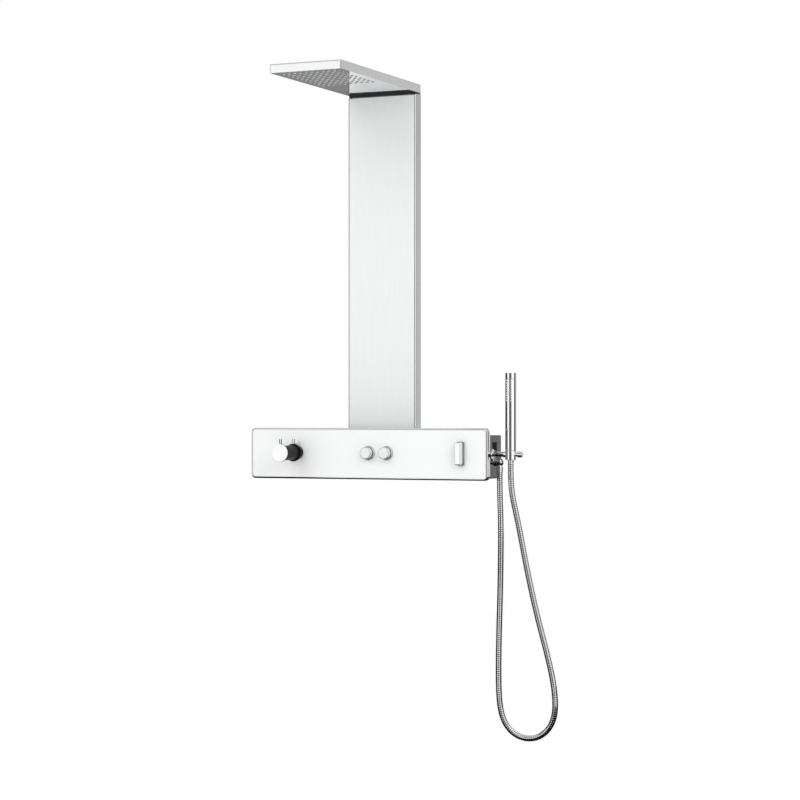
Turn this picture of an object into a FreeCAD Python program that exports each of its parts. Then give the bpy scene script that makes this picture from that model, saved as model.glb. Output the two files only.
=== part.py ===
"""Shower panel column: a wall console with mixer, a flat column, an overhead spray plate and a stick handset.

Frame: millimetres. X to the right, Y towards the wall (the wall is the plane y = 0), Z up.
The origin is the middle of the four wall bolts of the console. The front of the object faces -Y.
"""
import FreeCAD
import Part
import math
import os

from FreeCAD import Vector

# ---------------------------------------------------------------- driving dimensions (mm)
# console
console_width = 600.0
console_height = 118.0
console_depth = 112.0        # wall to the front face
trim_depth = 16.0            # depth of the front tray's rim
trim_rim = 4.0
trim_corner_r = 10.0
trim_edge = 1.2              # broken front edge of the rim
ledge = 6.0                  # folded ledge behind the panel and on the housing
sheet = 1.5                  # steel sheet of trays, channels and covers
front_panel_t = 1.6
housing_inset = 12.0         # housing side inside the tray's side
housing_top_inset = 16.0
housing_bottom_inset = 3.5
seat_gap = 0.3               # clearance of a piece that is dropped into another
wall_flange = 14.0
riser_notch_floor = 2.0      # wall plate's flange left behind the notch for the riser
wall_bolt_span_x = 500.0
wall_bolt_span_z = 60.0
bolt_hole_r = 3.25
bar_clearance = 1.3          # round a square bar that turns in the front panel
past = 1.0                   # how far a cut runs past the metal

# control axis and water block
control_z = 2.0              # height of every control above the bolt centre
barrel_half = 17.0           # axis to a flat of the eight-sided barrel
barrel_y = -44.0
barrel_left_reach = 34.0     # past the mixer's axis
barrel_right_reach = 26.0    # past the diverter's axis
inlet_span = 150.0           # standard distance of hot and cold supply
inlet_thread_r = 12.05       # G3/4 union nut, at the thread crests
nut_across_flats = 30.0
nut_face_gap = 1.0
nut_thread_length = 12.6
nut_relief_length = 2.4
nut_relief = 0.1
nut_wall = 4.0
nut_access = 4.0             # opening of the wall plate round a union nut
tail_half = 9.0              # axis to a flat of the eight-sided tail
tail_flange_half = 11.0
tail_flange_t = 2.0
tail_gap = 0.1               # tail's end ahead of the thread
foot_x = [-130.0, 130.0]     # welded feet of the wall plate, which the water block sits on
foot_size = [16.0, 24.0]

# thermostatic mixer, left
mixer_x = -178.0
handle_disc_r = 20.5
handle_disc_t = 4.5
temperature_hub_r = 17.0
temperature_length = 66.5
flow_hub_r = 15.75
flow_length = 22.7
flow_disc_t = 3.5
handle_gap = 0.5
handle_panel_gap = 1.5       # rear face of the flow handle ahead of the panel
handle_wall = 3.0
face_plate_t = 1.2           # chromed plate on the front of the temperature handle
temperature_socket_end = 22.0
temperature_spindle_reach = 30.0   # into the cartridge
sleeve_reach = 20.0
pin_r = 6.2
pin_height = 10.3
pin_neck_half = 2.1
pin_neck_sink = 3.0          # neck below the hub's surface
pin_stand_off = 1.0          # neck that shows between the handle's disc edge and the pin head
pin_setback = 10.5           # pin axis behind the handle's front face
cartridge_half = 14.5        # axis to a flat of the six-sided cartridge
cartridge_nose_gap = 1.0     # behind the front panel
cartridge_depth = 52.0
cartridge_boss_wall = 4.0
sleeve_bore_depth = 22.0
spindle_bore_depth = 34.0
spindle_half = 2.75          # half the side of a square spindle
sleeve_half = 5.0            # half the side of the flow handle's square sleeve
running_gap = 0.06
fit_gap = 0.05

# push buttons, centre
button_x = [4.0, 50.0]
button_cap_r = 13.75
button_cap_front = 17.0      # cap face ahead of the console's front face
button_cap_length = 15.0
bezel_r = 15.5
bezel_t = 5.0
button_gap = 0.3
button_wall = 2.2
button_floor = 3.0
stem_half = 3.8
stem_reach = 8.0             # into the boss
boss_half = 12.0             # axis to a flat of the six-sided bosses
boss_front_y = -100.0
boss_bore_depth = 22.0
spring_r = 7.6
spring_wall = 0.9
spring_sides = 12

# diverter lever, right
diverter_x = 235.0
lever_width = 15.4
lever_height = 50.7
lever_front = 20.0           # front face ahead of the console's front face
lever_back_gap = 0.8
lever_back_t = 5.0
lever_back_margin = 1.6
lever_corner_r = 4.0
lever_face_t = 6.0           # metal in front of the lever's socket
diverter_spindle_reach = 20.0   # into the boss

# hand shower holder and water outlet on the right side
holder_y = -56.0
holder_z = 0.0
holder_reach = 46.0          # housing side to the handset's axis
rosette_r = 12.0
rosette_t = 4.0
arm_r = 6.75
collar_r = 12.3
collar_top = 8.4             # above the arm's axis
collar_height = 20.8
end_cap_r = 6.6
end_cap_length = 11.4
end_neck_r = 4.5
end_neck_length = 4.8
collar_bore_r = 9.4
cone_nut_taper = 0.8         # how much narrower the hose nut is at its lower end
cone_nut_sides = 16
cone_nut_rise = 2.0          # its lower end above the collar's lower end
outlet_drop = 18.0           # outlet barrel below the arm's axis
outlet_reach = 19.3          # housing side to the hose's axis
outlet_barrel_r = 8.6
outlet_root_r = 5.0
outlet_root_length = 5.0
outlet_spigot_r = 5.2
spigot_in_nut = 7.5
stud_half = 3.6
nipple_half = 3.2
stud_depth = 14.0
side_block_wall = 6.0        # metal behind the studs
side_block_front = 11.0      # block's faces from the axes of arm and outlet
side_block_back = 16.0
side_block_above = 11.0
side_block_below = 10.0
side_link_half = 6.0         # axis to a flat of the link to the barrel

# hose
hose_crest_r = 6.7           # radii of the round sections that the eight-sided ones equal in area
hose_valley_r = 6.0
hose_bore_r = 4.4
hose_ribs = 84
rib_crest = [0.3, 0.7]       # where the crest of a rib lies in its pitch
arc_share = 0.45             # share of a straight run that the arc at each end takes
hose_sides = 8
bore_step = 14.0             # degrees that the bore turns between two sections
hose_nut_r = 7.6
hose_nut_length = 12.5
hose_nut_stand_off = 1.0     # below the outlet's barrel
ferrule_length = 8.0
ferrule_r = 7.2

# handset
handset_r = 12.3
handset_length = 175.7
waterway_half = 9.0          # axis to a flat of the eight-sided waterway
handset_floor = 6.0
end_band = 13.4              # cap above the groove
groove_gap = 0.5
plug_length = 8.0
nozzle_rows = 9
nozzle_pitch = 5.6
nozzle_angles = [-26.0, 0.0, 26.0]
handset_nozzle_half = 1.1
handset_nozzle_out = 0.7
handset_nozzle_seat = 0.02
first_nozzle_drop = 4.0      # below the groove
spigot_r = 6.0
spigot_length = 9.0

# column
column_width = 174.0
column_depth = 30.0
column_top_z = 834.8
column_seam_y = -20.0
column_panel_t = 1.0
column_border = 4.0
column_panel_lift = 1.0      # above the housing
riser_r = 7.0
riser_wall = 1.0
riser_y = -15.0
riser_clearance = 1.0
riser_bottom = 16.0          # pipe's lower end above the control axis
riser_rise = 6.0             # pipe's upper end above the head's lower face
riser_end_gap = 0.2
socket_half = 14.0           # block on the water block that takes the riser
socket_back = 12.0
socket_low = 4.0
socket_drop = 6.0            # below the housing's top
upper_bolt_z = 790.0
upper_bolt_span = 100.0
clip_heights = [230.0, 560.0]
clip_width = 14.0
clip_wall = 4.0
clip_lap = 2.0               # past the pipe's axis

# overhead spray head
head_length = 426.5
head_thickness = 20.0
head_gap = 3.8               # black neck between column and head
neck_side_inset = 10.0
neck_front_inset = 5.0
spray_plate_t = 2.0
nozzle_columns = 10
nozzle_lines = 10
nozzle_pitch_x = 13.8
nozzle_pitch_y = 21.5
nozzle_first_y = -405.5
head_nozzle_half = 2.0
head_nozzle_tip_half = 1.2
head_nozzle_drop = 2.0
chamber_height = 10.0
chamber_margin = 12.0
chamber_wall = 2.0
inlet_block_half = 12.0
inlet_block_back = 11.0
inlet_block_height = 14.0
feed_half = 5.0
feed_wall = 1.0
feed_height = 7.0            # axis of the feed above the spray plate

BACK = Vector(0, 1, 0)
RIGHT = Vector(1, 0, 0)
UP = Vector(0, 0, 1)

os.makedirs("parts", exist_ok=True)


# ---------------------------------------------------------------- small shape helpers
def block(x0, x1, y0, y1, z0, z1):
    """A box between two corners."""
    return Part.makeBox(x1 - x0, y1 - y0, z1 - z0, Vector(x0, y0, z0))


def rod(radius, start, end):
    """A round bar from one point to another."""
    axis = Vector(end) - Vector(start)
    return Part.makeCylinder(radius, axis.Length, Vector(start), axis)


def pipe(outer, inner, start, end):
    """A round tube from one point to another."""
    return rod(outer, start, end).cut(rod(inner, start, end))


def polygon(sides, radius, centre, across, up):
    """A closed regular polygon with its first flat square to the direction called across."""
    corners = []
    for k in range(sides):
        angle = (k + 0.5) * 2 * math.pi / sides
        corners.append(centre + across * (radius * math.cos(angle)) + up * (radius * math.sin(angle)))
    return Part.makePolygon(corners + [corners[0]])


def prism(sides, half, start, end):
    """A bar with equal flats from one point to another; half is the distance from its axis to a flat."""
    start = Vector(start)
    axis = Vector(end) - start
    direction = Vector(axis).normalize()
    up = BACK if abs(direction.z) > 0.5 else UP
    outline = polygon(sides, half / math.cos(math.pi / sides), start, direction.cross(up), up)
    return Part.Face(outline).extrude(axis)


def rounded_plate(width, height, radius, y0, y1, centre_z=0.0, centre_x=0.0):
    """An upright plate with round corners, between two depths."""
    plate = block(centre_x - width / 2, centre_x + width / 2, y0, y1,
                  centre_z - height / 2, centre_z + height / 2)
    corners = [edge for edge in plate.Edges
               if abs(edge.tangentAt(edge.FirstParameter).y) > 0.99]
    return plate.makeFillet(radius, corners)


def turned(points, centre, axis):
    """A turned piece: (radius, distance along axis) points spun about the axis through centre."""
    side = Vector(0, 0, 1) if abs(axis.z) < 0.5 else Vector(1, 0, 0)
    centre = Vector(centre)
    outline = [centre + side * r + axis * d for r, d in points]
    face = Part.Face(Part.makePolygon(outline + [outline[0]]))
    return face.revolve(centre, axis, 360)


def save(name, shape):
    """Writes one piece, or a group of like pieces, to its own file."""
    shape.exportStep(os.path.join("parts", name + ".step"))


# ---------------------------------------------------------------- wall plate and housing
def wall_plate():
    """Channel that the wall bolts hold, with two feet for the water block and a notch for the riser."""
    half = housing_half - sheet - seat_gap
    low = housing_bottom + sheet + seat_gap
    high = housing_top - sheet - seat_gap
    outer = block(-half, half, -wall_flange, 0, low, high)
    hollow = block(-half - past, half + past, -wall_flange - past, -sheet, low + sheet, high - sheet)
    notch = block(-riser_hole_half, riser_hole_half, -wall_flange - past, -sheet - riser_notch_floor,
                  high - 2 * sheet, high + past)
    plate = outer.cut(hollow).cut(notch)
    for x in foot_x:
        width, height = foot_size
        foot = block(x - width / 2, x + width / 2, barrel_y + barrel_half, -sheet,
                     control_z - height / 2, control_z + height / 2)
        plate = plate.fuse(foot)
    for x in (-wall_bolt_span_x / 2, wall_bolt_span_x / 2):
        for z in (-wall_bolt_span_z / 2, wall_bolt_span_z / 2):
            plate = plate.cut(rod(bolt_hole_r, (x, -sheet - past, z), (x, past, z)))
    opening = nut_across_flats / 2 + nut_access
    for x in (-inlet_span / 2, inlet_span / 2):
        plate = plate.cut(prism(4, opening, (x, -sheet - past, control_z), (x, past, control_z)))
    return plate


def console_housing():
    """Folded steel box behind the front tray, open to the front and to the wall."""
    outer = block(-housing_half, housing_half, tray_back_y, 0, housing_bottom, housing_top)
    inner = block(-housing_half + sheet, housing_half - sheet, tray_back_y - past, past,
                  housing_bottom + sheet, housing_top - sheet)
    box = outer.cut(inner)
    wall_inside = housing_half - sheet - past
    wall_outside = housing_half + past
    holes = [(riser_hole_half, (0, riser_y, housing_top - sheet - past), (0, riser_y, housing_top + past)),
             (stud_half + seat_gap, (wall_inside, holder_y, holder_z), (wall_outside, holder_y, holder_z)),
             (nipple_half + seat_gap, (wall_inside, holder_y, outlet_z), (wall_outside, holder_y, outlet_z))]
    for half, start, end in holes:
        box = box.cut(prism(4, half, start, end))
    return box


def console_trim_frame():
    """Polished rim of the front tray with a rear flange on the housing and a ledge for the panel."""
    outer = rounded_plate(console_width, console_height, trim_corner_r, front_y, tray_back_y)
    front_edges = [edge for edge in outer.Edges if abs(edge.CenterOfMass.y - front_y) < 0.01]
    outer = outer.makeChamfer(trim_edge, front_edges)
    half_w = console_width / 2 - trim_rim
    half_h = console_height / 2 - trim_rim
    recess = rounded_plate(2 * half_w, 2 * half_h, trim_corner_r - trim_rim, front_y - past, panel_back_y)
    window = block(-half_w + ledge, half_w - ledge, panel_back_y - past, tray_back_y,
                   -half_h + ledge, half_h - ledge)
    cavity = block(-half_w, half_w, panel_back_y + sheet, tray_back_y - sheet, -half_h, half_h)
    rear = block(-housing_half + ledge, housing_half - ledge, tray_back_y - sheet - past, tray_back_y + past,
                 housing_bottom + ledge, housing_top - ledge)
    return outer.cut(recess).cut(window).cut(cavity).cut(rear)


def console_front_panel():
    """Satin panel set flush in the rim, with the guide rings of the buttons raised on it."""
    width = console_width - 2 * trim_rim - 2 * seat_gap
    height = console_height - 2 * trim_rim - 2 * seat_gap
    panel = rounded_plate(width, height, trim_corner_r - trim_rim - seat_gap, front_y, panel_back_y)
    for x in button_x:
        panel = panel.fuse(rod(bezel_r, (x, front_y - bezel_t, control_z), (x, front_y, control_z)))
        panel = panel.cut(rod(button_cap_r + button_gap, (x, front_y - bezel_t - past, control_z),
                              (x, panel_back_y + past, control_z)))
    for x, bar_half in ((mixer_x, sleeve_half), (diverter_x, spindle_half)):
        opening = bar_half * math.sqrt(2) + bar_clearance
        panel = panel.cut(prism(4, opening, (x, front_y - past, control_z),
                                (x, panel_back_y + past, control_z)))
    return panel


# ---------------------------------------------------------------- water block and supply
def valve_body():
    """Cast brass water way: an eight-sided barrel along the console with a boss behind every control."""
    body = prism(8, barrel_half, (barrel_left, barrel_y, control_z), (barrel_right, barrel_y, control_z))
    body = body.fuse(prism(6, cartridge_half + cartridge_boss_wall, (mixer_x, barrel_y, control_z),
                           (mixer_x, boss_front_y, control_z)))
    for x in button_x + [diverter_x]:
        body = body.fuse(prism(6, boss_half, (x, barrel_y, control_z), (x, boss_front_y, control_z)))
    for x in (-inlet_span / 2, inlet_span / 2):
        body = body.fuse(prism(8, tail_half, (x, barrel_y, control_z), (x, tail_end_y, control_z)))
        body = body.fuse(prism(8, tail_flange_half, (x, tail_end_y - tail_flange_t, control_z),
                               (x, tail_end_y, control_z)))
    body = body.fuse(block(-socket_half, socket_half, barrel_y, riser_y + socket_back,
                           control_z + socket_low, riser_socket_top))
    body = body.cut(prism(6, cartridge_half + fit_gap, (mixer_x, cartridge_back_y, control_z),
                          (mixer_x, boss_front_y - past, control_z)))
    for x in button_x:
        body = body.cut(prism(4, stem_half + running_gap, (x, boss_front_y - past, control_z),
                              (x, boss_front_y + boss_bore_depth, control_z)))
    body = body.cut(prism(8, spindle_bore_half, (diverter_x, boss_front_y - past, control_z),
                          (diverter_x, boss_front_y + boss_bore_depth, control_z)))
    return body.cut(rod(riser_r + fit_gap, (0, riser_y, riser_bottom_z),
                        (0, riser_y, riser_socket_top + past)))


def inlet_nuts():
    """Hexagon union nuts of the hot and the cold supply, captive on the tails of the water block."""
    nuts = []
    for x in (-inlet_span / 2, inlet_span / 2):
        front = (x, nut_front_y, control_z)
        back = (x, -nut_face_gap, control_z)
        nut = prism(6, nut_across_flats / 2, front, back)
        nut = nut.cut(prism(8, tail_half + seat_gap, front, back))
        nut = nut.cut(prism(8, inlet_thread_r + nut_relief, (x, nut_relief_y, control_z),
                            (x, nut_thread_y, control_z)))
        nuts.append(nut.cut(rod(inlet_thread_r, (x, nut_thread_y, control_z), (x, past, control_z))))
    return Part.makeCompound(nuts)


def side_outlet_block():
    """Brass block inside the housing's right end that takes the holder's stud and the outlet."""
    right = housing_half - sheet
    left = right - stud_depth - side_block_wall
    body = block(left, right, holder_y - side_block_front, holder_y + side_block_back,
                 outlet_z - side_block_below, holder_z + side_block_above)
    for half, z in ((stud_half, holder_z), (nipple_half, outlet_z)):
        body = body.cut(prism(4, half + fit_gap, (right - stud_depth, holder_y, z),
                              (right + past, holder_y, z)))
    link = prism(8, side_link_half, (barrel_right, barrel_y, control_z), (left, barrel_y, control_z))
    return body.fuse(link).removeSplitter()


# ---------------------------------------------------------------- thermostatic mixer
def on_mixer(points):
    """A turned piece on the mixer's axis; distances are y values."""
    return turned(points, (mixer_x, 0, control_z), BACK)


def mixer_bar(sides, half, start_y, end_y):
    """A bar with flats on the mixer's axis."""
    return prism(sides, half, (mixer_x, start_y, control_z), (mixer_x, end_y, control_z))


def thermostatic_cartridge():
    """Wax cartridge in the mixer boss, bored at the front for the sleeve and the spindle."""
    nose = cartridge_front_y
    body = mixer_bar(6, cartridge_half, nose, cartridge_back_y)
    body = body.cut(mixer_bar(8, sleeve_bore_half, nose - past, nose + sleeve_bore_depth))
    return body.cut(mixer_bar(8, spindle_bore_half, nose, nose + spindle_bore_depth))


def pin_seat(front, hub_r, half):
    """Square seat of a grip pin's neck in the top of a handle's hub."""
    y = front + pin_setback
    return prism(4, half, (mixer_x, y, control_z + hub_r - pin_neck_sink),
                 (mixer_x, y, control_z + handle_disc_r + pin_stand_off))


def grip_pin(front, hub_r):
    """Chromed pin on top of a handle: a thin neck with a thick head."""
    y = front + pin_setback
    low = control_z + handle_disc_r + pin_stand_off
    head = rod(pin_r, (mixer_x, y, low), (mixer_x, y, low + pin_height))
    return head.fuse(pin_seat(front, hub_r, pin_neck_half))


def temperature_handle():
    """Front handle: a disc on a long hub, hollowed from behind, with a square socket for its spindle."""
    front = temperature_front_y
    seat = front + face_plate_t
    rear = front + handle_disc_t
    back = temperature_back_y
    handle = on_mixer([(0, seat), (handle_disc_r, seat), (handle_disc_r, rear), (temperature_hub_r, rear),
                       (temperature_hub_r, back), (0, back)])
    pocket = (temperature_hub_r - handle_wall) / math.sqrt(2)
    handle = handle.cut(mixer_bar(4, pocket, front + temperature_socket_end, back + past))
    handle = handle.cut(mixer_bar(4, spindle_half + fit_gap, rear, back))
    return handle.cut(pin_seat(front, temperature_hub_r, pin_neck_half + fit_gap))


def temperature_face_plate():
    """Chromed plate on the front of the temperature handle."""
    front = temperature_front_y
    seat = front + face_plate_t
    return on_mixer([(0, front), (handle_disc_r, front), (handle_disc_r, seat), (0, seat)])


def temperature_spindle():
    """Square rod from the front handle to the cartridge."""
    return mixer_bar(4, spindle_half, temperature_front_y + handle_disc_t,
                     cartridge_front_y + temperature_spindle_reach)


def flow_handle():
    """Rear handle: a disc on a short hub with a square socket for its sleeve."""
    front = flow_front_y
    handle = on_mixer([(0, front), (handle_disc_r, front), (handle_disc_r, front + flow_disc_t),
                       (flow_hub_r, front + flow_disc_t), (flow_hub_r, flow_back_y), (0, flow_back_y)])
    handle = handle.cut(mixer_bar(4, sleeve_half + fit_gap, front - past, flow_back_y + past))
    return handle.cut(pin_seat(front, flow_hub_r, pin_neck_half + fit_gap))


def flow_sleeve():
    """Square drive sleeve of the flow handle, round the temperature spindle."""
    end = cartridge_front_y + sleeve_reach
    sleeve = mixer_bar(4, sleeve_half, flow_front_y, end)
    return sleeve.cut(mixer_bar(8, spindle_bore_half, flow_front_y, end))


# ---------------------------------------------------------------- push buttons
def button_cap(x):
    """Hollow button with its square stem in one piece."""
    def bar(half, start_y, end_y):
        return prism(4, half, (x, start_y, control_z), (x, end_y, control_z))

    cap = rod(button_cap_r, (x, cap_front_y, control_z), (x, cap_back_y, control_z))
    cap = cap.cut(bar((button_cap_r - button_wall) / math.sqrt(2), cap_floor_y, cap_back_y + past))
    return cap.fuse(bar(stem_half, cap_front_y + past, boss_front_y + stem_reach))


def button_spring(x):
    """Return spring between the boss and the cap, as the closed sleeve that it fills."""
    start = (x, boss_front_y - seat_gap, control_z)
    end = (x, cap_floor_y + seat_gap, control_z)
    sleeve = prism(spring_sides, spring_r, start, end)
    return sleeve.cut(prism(spring_sides, spring_r - spring_wall, start, end))


# ---------------------------------------------------------------- diverter lever
def diverter_lever():
    """Upright bar handle with round corners on a slightly larger back with broken corners."""
    half_w = lever_width / 2 + lever_back_margin
    half_h = lever_height / 2 + lever_back_margin
    base = block(diverter_x - half_w, diverter_x + half_w, lever_step_y, lever_back_y,
                 control_z - half_h, control_z + half_h)
    corners = [edge for edge in base.Edges if abs(edge.tangentAt(edge.FirstParameter).y) > 0.99]
    base = base.makeChamfer(lever_corner_r / 2, corners)
    bar = rounded_plate(lever_width, lever_height, lever_corner_r, front_y - lever_front, lever_step_y,
                        control_z, diverter_x)
    socket = prism(4, spindle_half + fit_gap, (diverter_x, lever_spindle_y, control_z),
                   (diverter_x, front_y, control_z))
    return base.fuse(bar).cut(socket)


def diverter_spindle():
    """Square rod from the lever into the diverter boss."""
    return prism(4, spindle_half, (diverter_x, lever_spindle_y, control_z),
                 (diverter_x, boss_front_y + diverter_spindle_reach, control_z))


# ---------------------------------------------------------------- holder and outlet
def holder_rosette():
    """Round rose on the housing's side."""
    end = housing_half + rosette_t
    rose = rod(rosette_r, (housing_half, holder_y, holder_z), (end, holder_y, holder_z))
    return rose.cut(prism(4, stud_half + fit_gap, (housing_half - past, holder_y, holder_z),
                          (end + past, holder_y, holder_z)))


def holder_arm():
    """Arm from the rose to the collar, with the square stud that holds it in the housing."""
    start = housing_half + rosette_t
    arm = rod(arm_r, (start, holder_y, holder_z), (holder_x, holder_y, holder_z))
    arm = arm.cut(collar_space)
    return arm.fuse(prism(4, stud_half, (housing_half - sheet - stud_depth, holder_y, holder_z),
                          (start, holder_y, holder_z)))


def holder_collar():
    """Collar that the handset stands on, with its nut inside."""
    top = holder_z + collar_top
    return pipe(collar_r, collar_bore_r, (holder_x, holder_y, top - collar_height),
                (holder_x, holder_y, top))


def holder_end_cap():
    """End cap of the arm, on a thin neck that comes out of the collar."""
    neck_end = collar_r + end_neck_length
    cap = turned([(0, 0), (end_neck_r, 0), (end_neck_r, neck_end), (end_cap_r, neck_end),
                  (end_cap_r, neck_end + end_cap_length), (0, neck_end + end_cap_length)],
                 (holder_x, holder_y, holder_z), RIGHT)
    return cap.cut(collar_space)


def outlet_elbow():
    """Outlet barrel on a thinner root, with a spigot below for the hose nut."""
    start = housing_half + outlet_root_length
    end = outlet_x + outlet_barrel_r
    elbow = turned([(0, housing_half), (outlet_root_r, housing_half), (outlet_root_r, start),
                    (outlet_barrel_r, start), (outlet_barrel_r, end), (0, end)],
                   (0, holder_y, outlet_z), RIGHT)
    nipple = prism(4, nipple_half, (housing_half - sheet - stud_depth, holder_y, outlet_z),
                   (housing_half, holder_y, outlet_z))
    spigot = rod(outlet_spigot_r, (outlet_x, holder_y, outlet_z),
                 (outlet_x, holder_y, nut_top_z - spigot_in_nut))
    return elbow.fuse(nipple).fuse(spigot)


def hose_outlet_nut():
    """Round nut that holds the hose on the outlet's spigot."""
    return pipe(hose_nut_r, outlet_spigot_r + fit_gap, (outlet_x, holder_y, nut_bottom_z),
                (outlet_x, holder_y, nut_top_z))


# ---------------------------------------------------------------- handset
def on_handset(points):
    """A turned piece on the handset's axis; distances are z values."""
    return turned(points, (holder_x, holder_y, 0), UP)


def handset_bar(sides, half, start_z, end_z):
    """A bar with flats on the handset's axis."""
    return prism(sides, half, (holder_x, holder_y, start_z), (holder_x, holder_y, end_z))


def handset_body():
    """Stick with its waterway, a solid foot and a threaded spigot below it."""
    top = groove_z - groove_gap
    low = cone_top_z - spigot_length
    body = on_handset([(0, low), (spigot_r, low), (spigot_r, handset_bottom_z),
                       (handset_r, handset_bottom_z), (handset_r, top), (0, top)])
    return body.cut(handset_bar(8, waterway_half, handset_bottom_z + handset_floor, top + past))


def handset_end_cap():
    """Cap on top of the stick, set off by a fine groove, with its plug in the waterway."""
    cap = rod(handset_r, (holder_x, holder_y, groove_z), (holder_x, holder_y, handset_top_z))
    return cap.fuse(handset_bar(8, waterway_half - fit_gap, groove_z - groove_gap - plug_length, groove_z))


def handset_nozzles():
    """Rubber nozzles in three upright columns on the stick's front; the middle one is half a pitch lower."""
    first = groove_z - first_nozzle_drop
    tips = []
    for column, angle in enumerate(nozzle_angles):
        out = Vector(math.sin(math.radians(angle)), -math.cos(math.radians(angle)), 0)
        for row in range(nozzle_rows - column % 2):
            z = first - nozzle_pitch * (row + (column % 2) / 2)
            start = Vector(holder_x, holder_y, z) + out * (handset_r + handset_nozzle_seat)
            tips.append(prism(4, handset_nozzle_half, start, start + out * handset_nozzle_out))
    return Part.makeCompound(tips)


def hose_cone_nut():
    """Fluted conical nut that screws on the handset's spigot and sits in the collar."""
    outlines = []
    top_r = collar_bore_r - seat_gap
    for radius, z in ((top_r - cone_nut_taper, cone_bottom_z), (top_r, cone_top_z)):
        outlines.append(polygon(cone_nut_sides, radius, Vector(holder_x, holder_y, z), RIGHT, BACK))
    cone = Part.makeLoft(outlines, True, True)
    return cone.cut(rod(spigot_r + fit_gap, (holder_x, holder_y, cone_bottom_z - past),
                        (holder_x, holder_y, cone_top_z + past)))


def hose_top_ferrule():
    """Crimped ferrule on the hose's upper end; the conical nut turns on it."""
    top = cone_bottom_z - seat_gap
    sleeve = rod(ferrule_r, (holder_x, holder_y, ferrule_bottom_z), (holder_x, holder_y, top))
    return sleeve.cut(handset_bar(8, hose_bore_r, ferrule_bottom_z, top))


# ---------------------------------------------------------------- hose
# Route of the hose in the plane y = holder_y, chosen by hand from the outlet down round the loop and up to
# the handset. The first and last points follow the outlet and the holder.
def hose_route():
    """Corner points of the hose's route, as (x, z)."""
    return [
        (outlet_x, nut_bottom_z),
        (outlet_x, nut_bottom_z - 45.0),
        (310.5, -163.0),
        (309.0, -292.0),
        (305.0, -420.0),
        (304.0, -513.0),
        (307.0, -569.0),
        (316.5, -604.0),
        (337.5, -629.5),
        (367.0, -641.5),
        (399.0, -638.0),
        (425.0, -619.0),
        (439.5, -590.0),
        (442.0, -555.0),
        (436.5, -508.0),
        (421.0, -444.0),
        (397.5, -362.0),
        (373.0, -258.0),
        (353.5, -160.0),
        (337.5, -93.0),
        (holder_x, -56.0),
        (holder_x, ferrule_bottom_z),
    ]


def hose_path():
    """Straight runs joined by tangent arcs; prints each arc's radius and the length."""
    points = [Vector(x, holder_y, z) for x, z in hose_route()]
    edges = []
    radii = []
    start = points[0]
    for before, corner, after in zip(points, points[1:], points[2:]):
        arrive = (corner - before).normalize()
        leave = (after - corner).normalize()
        reach = arc_share * min((corner - before).Length, (after - corner).Length)
        first = corner - arrive * reach
        last = corner + leave * reach
        radius = reach / math.tan(arrive.getAngle(leave) / 2)
        inward = (leave - arrive).normalize()
        middle = corner + inward * (math.hypot(radius, reach) - radius)
        edges.append(Part.LineSegment(start, first).toShape())
        edges.append(Part.Arc(first, middle, last).toShape())
        radii.append(radius)
        start = last
    edges.append(Part.LineSegment(start, points[-1]).toShape())
    wire = Part.Wire(edges)
    print("hose arc radii:", [round(r) for r in radii], "length", round(wire.Length, 1))
    return wire


def sections(wire, distances, radii):
    """Eight-sided outlines square to the wire, each as large in area as the circle of its radius."""
    scale = math.sqrt(2 * math.pi / (hose_sides * math.sin(2 * math.pi / hose_sides)))
    outlines = []
    edges = wire.OrderedEdges
    index = 0
    passed = 0.0
    for distance, radius in zip(distances, radii):
        while index < len(edges) - 1 and distance > passed + edges[index].Length:
            passed += edges[index].Length
            index += 1
        edge = edges[index]
        parameter = edge.getParameterByLength(min(max(distance - passed, 0.0), edge.Length))
        side = edge.tangentAt(parameter).cross(BACK)
        outlines.append(polygon(hose_sides, radius * scale, edge.valueAt(parameter), BACK, side))
    return outlines


def bore_distances(wire):
    """Distances of the bore's sections: both ends of every run, and steps of a few degrees round the arcs."""
    distances = [0.0]
    for edge in wire.OrderedEdges:
        turn = edge.tangentAt(edge.FirstParameter).getAngle(edge.tangentAt(edge.LastParameter))
        steps = max(1, math.ceil(math.degrees(turn) / bore_step))
        start = distances[-1]
        distances += [start + edge.Length * (k + 1) / steps for k in range(steps)]
    return distances


def hose():
    """Ribbed metal hose with its bore, straight for one diameter at both ends."""
    wire = hose_path()
    plain = 2 * hose_crest_r
    pitch = (wire.Length - 2 * plain) / hose_ribs
    crest_start, crest_end = rib_crest
    distances = [0.0]
    radii = [hose_valley_r]
    for rib in range(hose_ribs):
        for share, radius in ((0.0, hose_valley_r), (crest_start, hose_crest_r), (crest_end, hose_crest_r)):
            distances.append(plain + (rib + share) * pitch)
            radii.append(radius)
    distances += [wire.Length - plain, wire.Length]
    radii += [hose_valley_r, hose_valley_r]
    outer = Part.makeLoft(sections(wire, distances, radii), True, True)
    bore_places = bore_distances(wire)
    inner = Part.makeLoft(sections(wire, bore_places, [hose_bore_r] * len(bore_places)), True, True)
    return outer.cut(inner)


# ---------------------------------------------------------------- column
def column_back_channel():
    """Rear steel channel of the column, with a bent tab on top that carries the head."""
    half = column_width / 2
    outer = block(-half, half, column_seam_y, 0, housing_top, column_top_z)
    inner = block(-half + sheet, half - sheet, column_seam_y - past, -sheet,
                  housing_top - past, column_top_z - sheet)
    channel = outer.cut(inner).cut(riser_space)
    for x in (-upper_bolt_span / 2, upper_bolt_span / 2):
        channel = channel.cut(rod(bolt_hole_r, (x, -sheet - past, upper_bolt_z), (x, past, upper_bolt_z)))
    return channel


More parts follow.
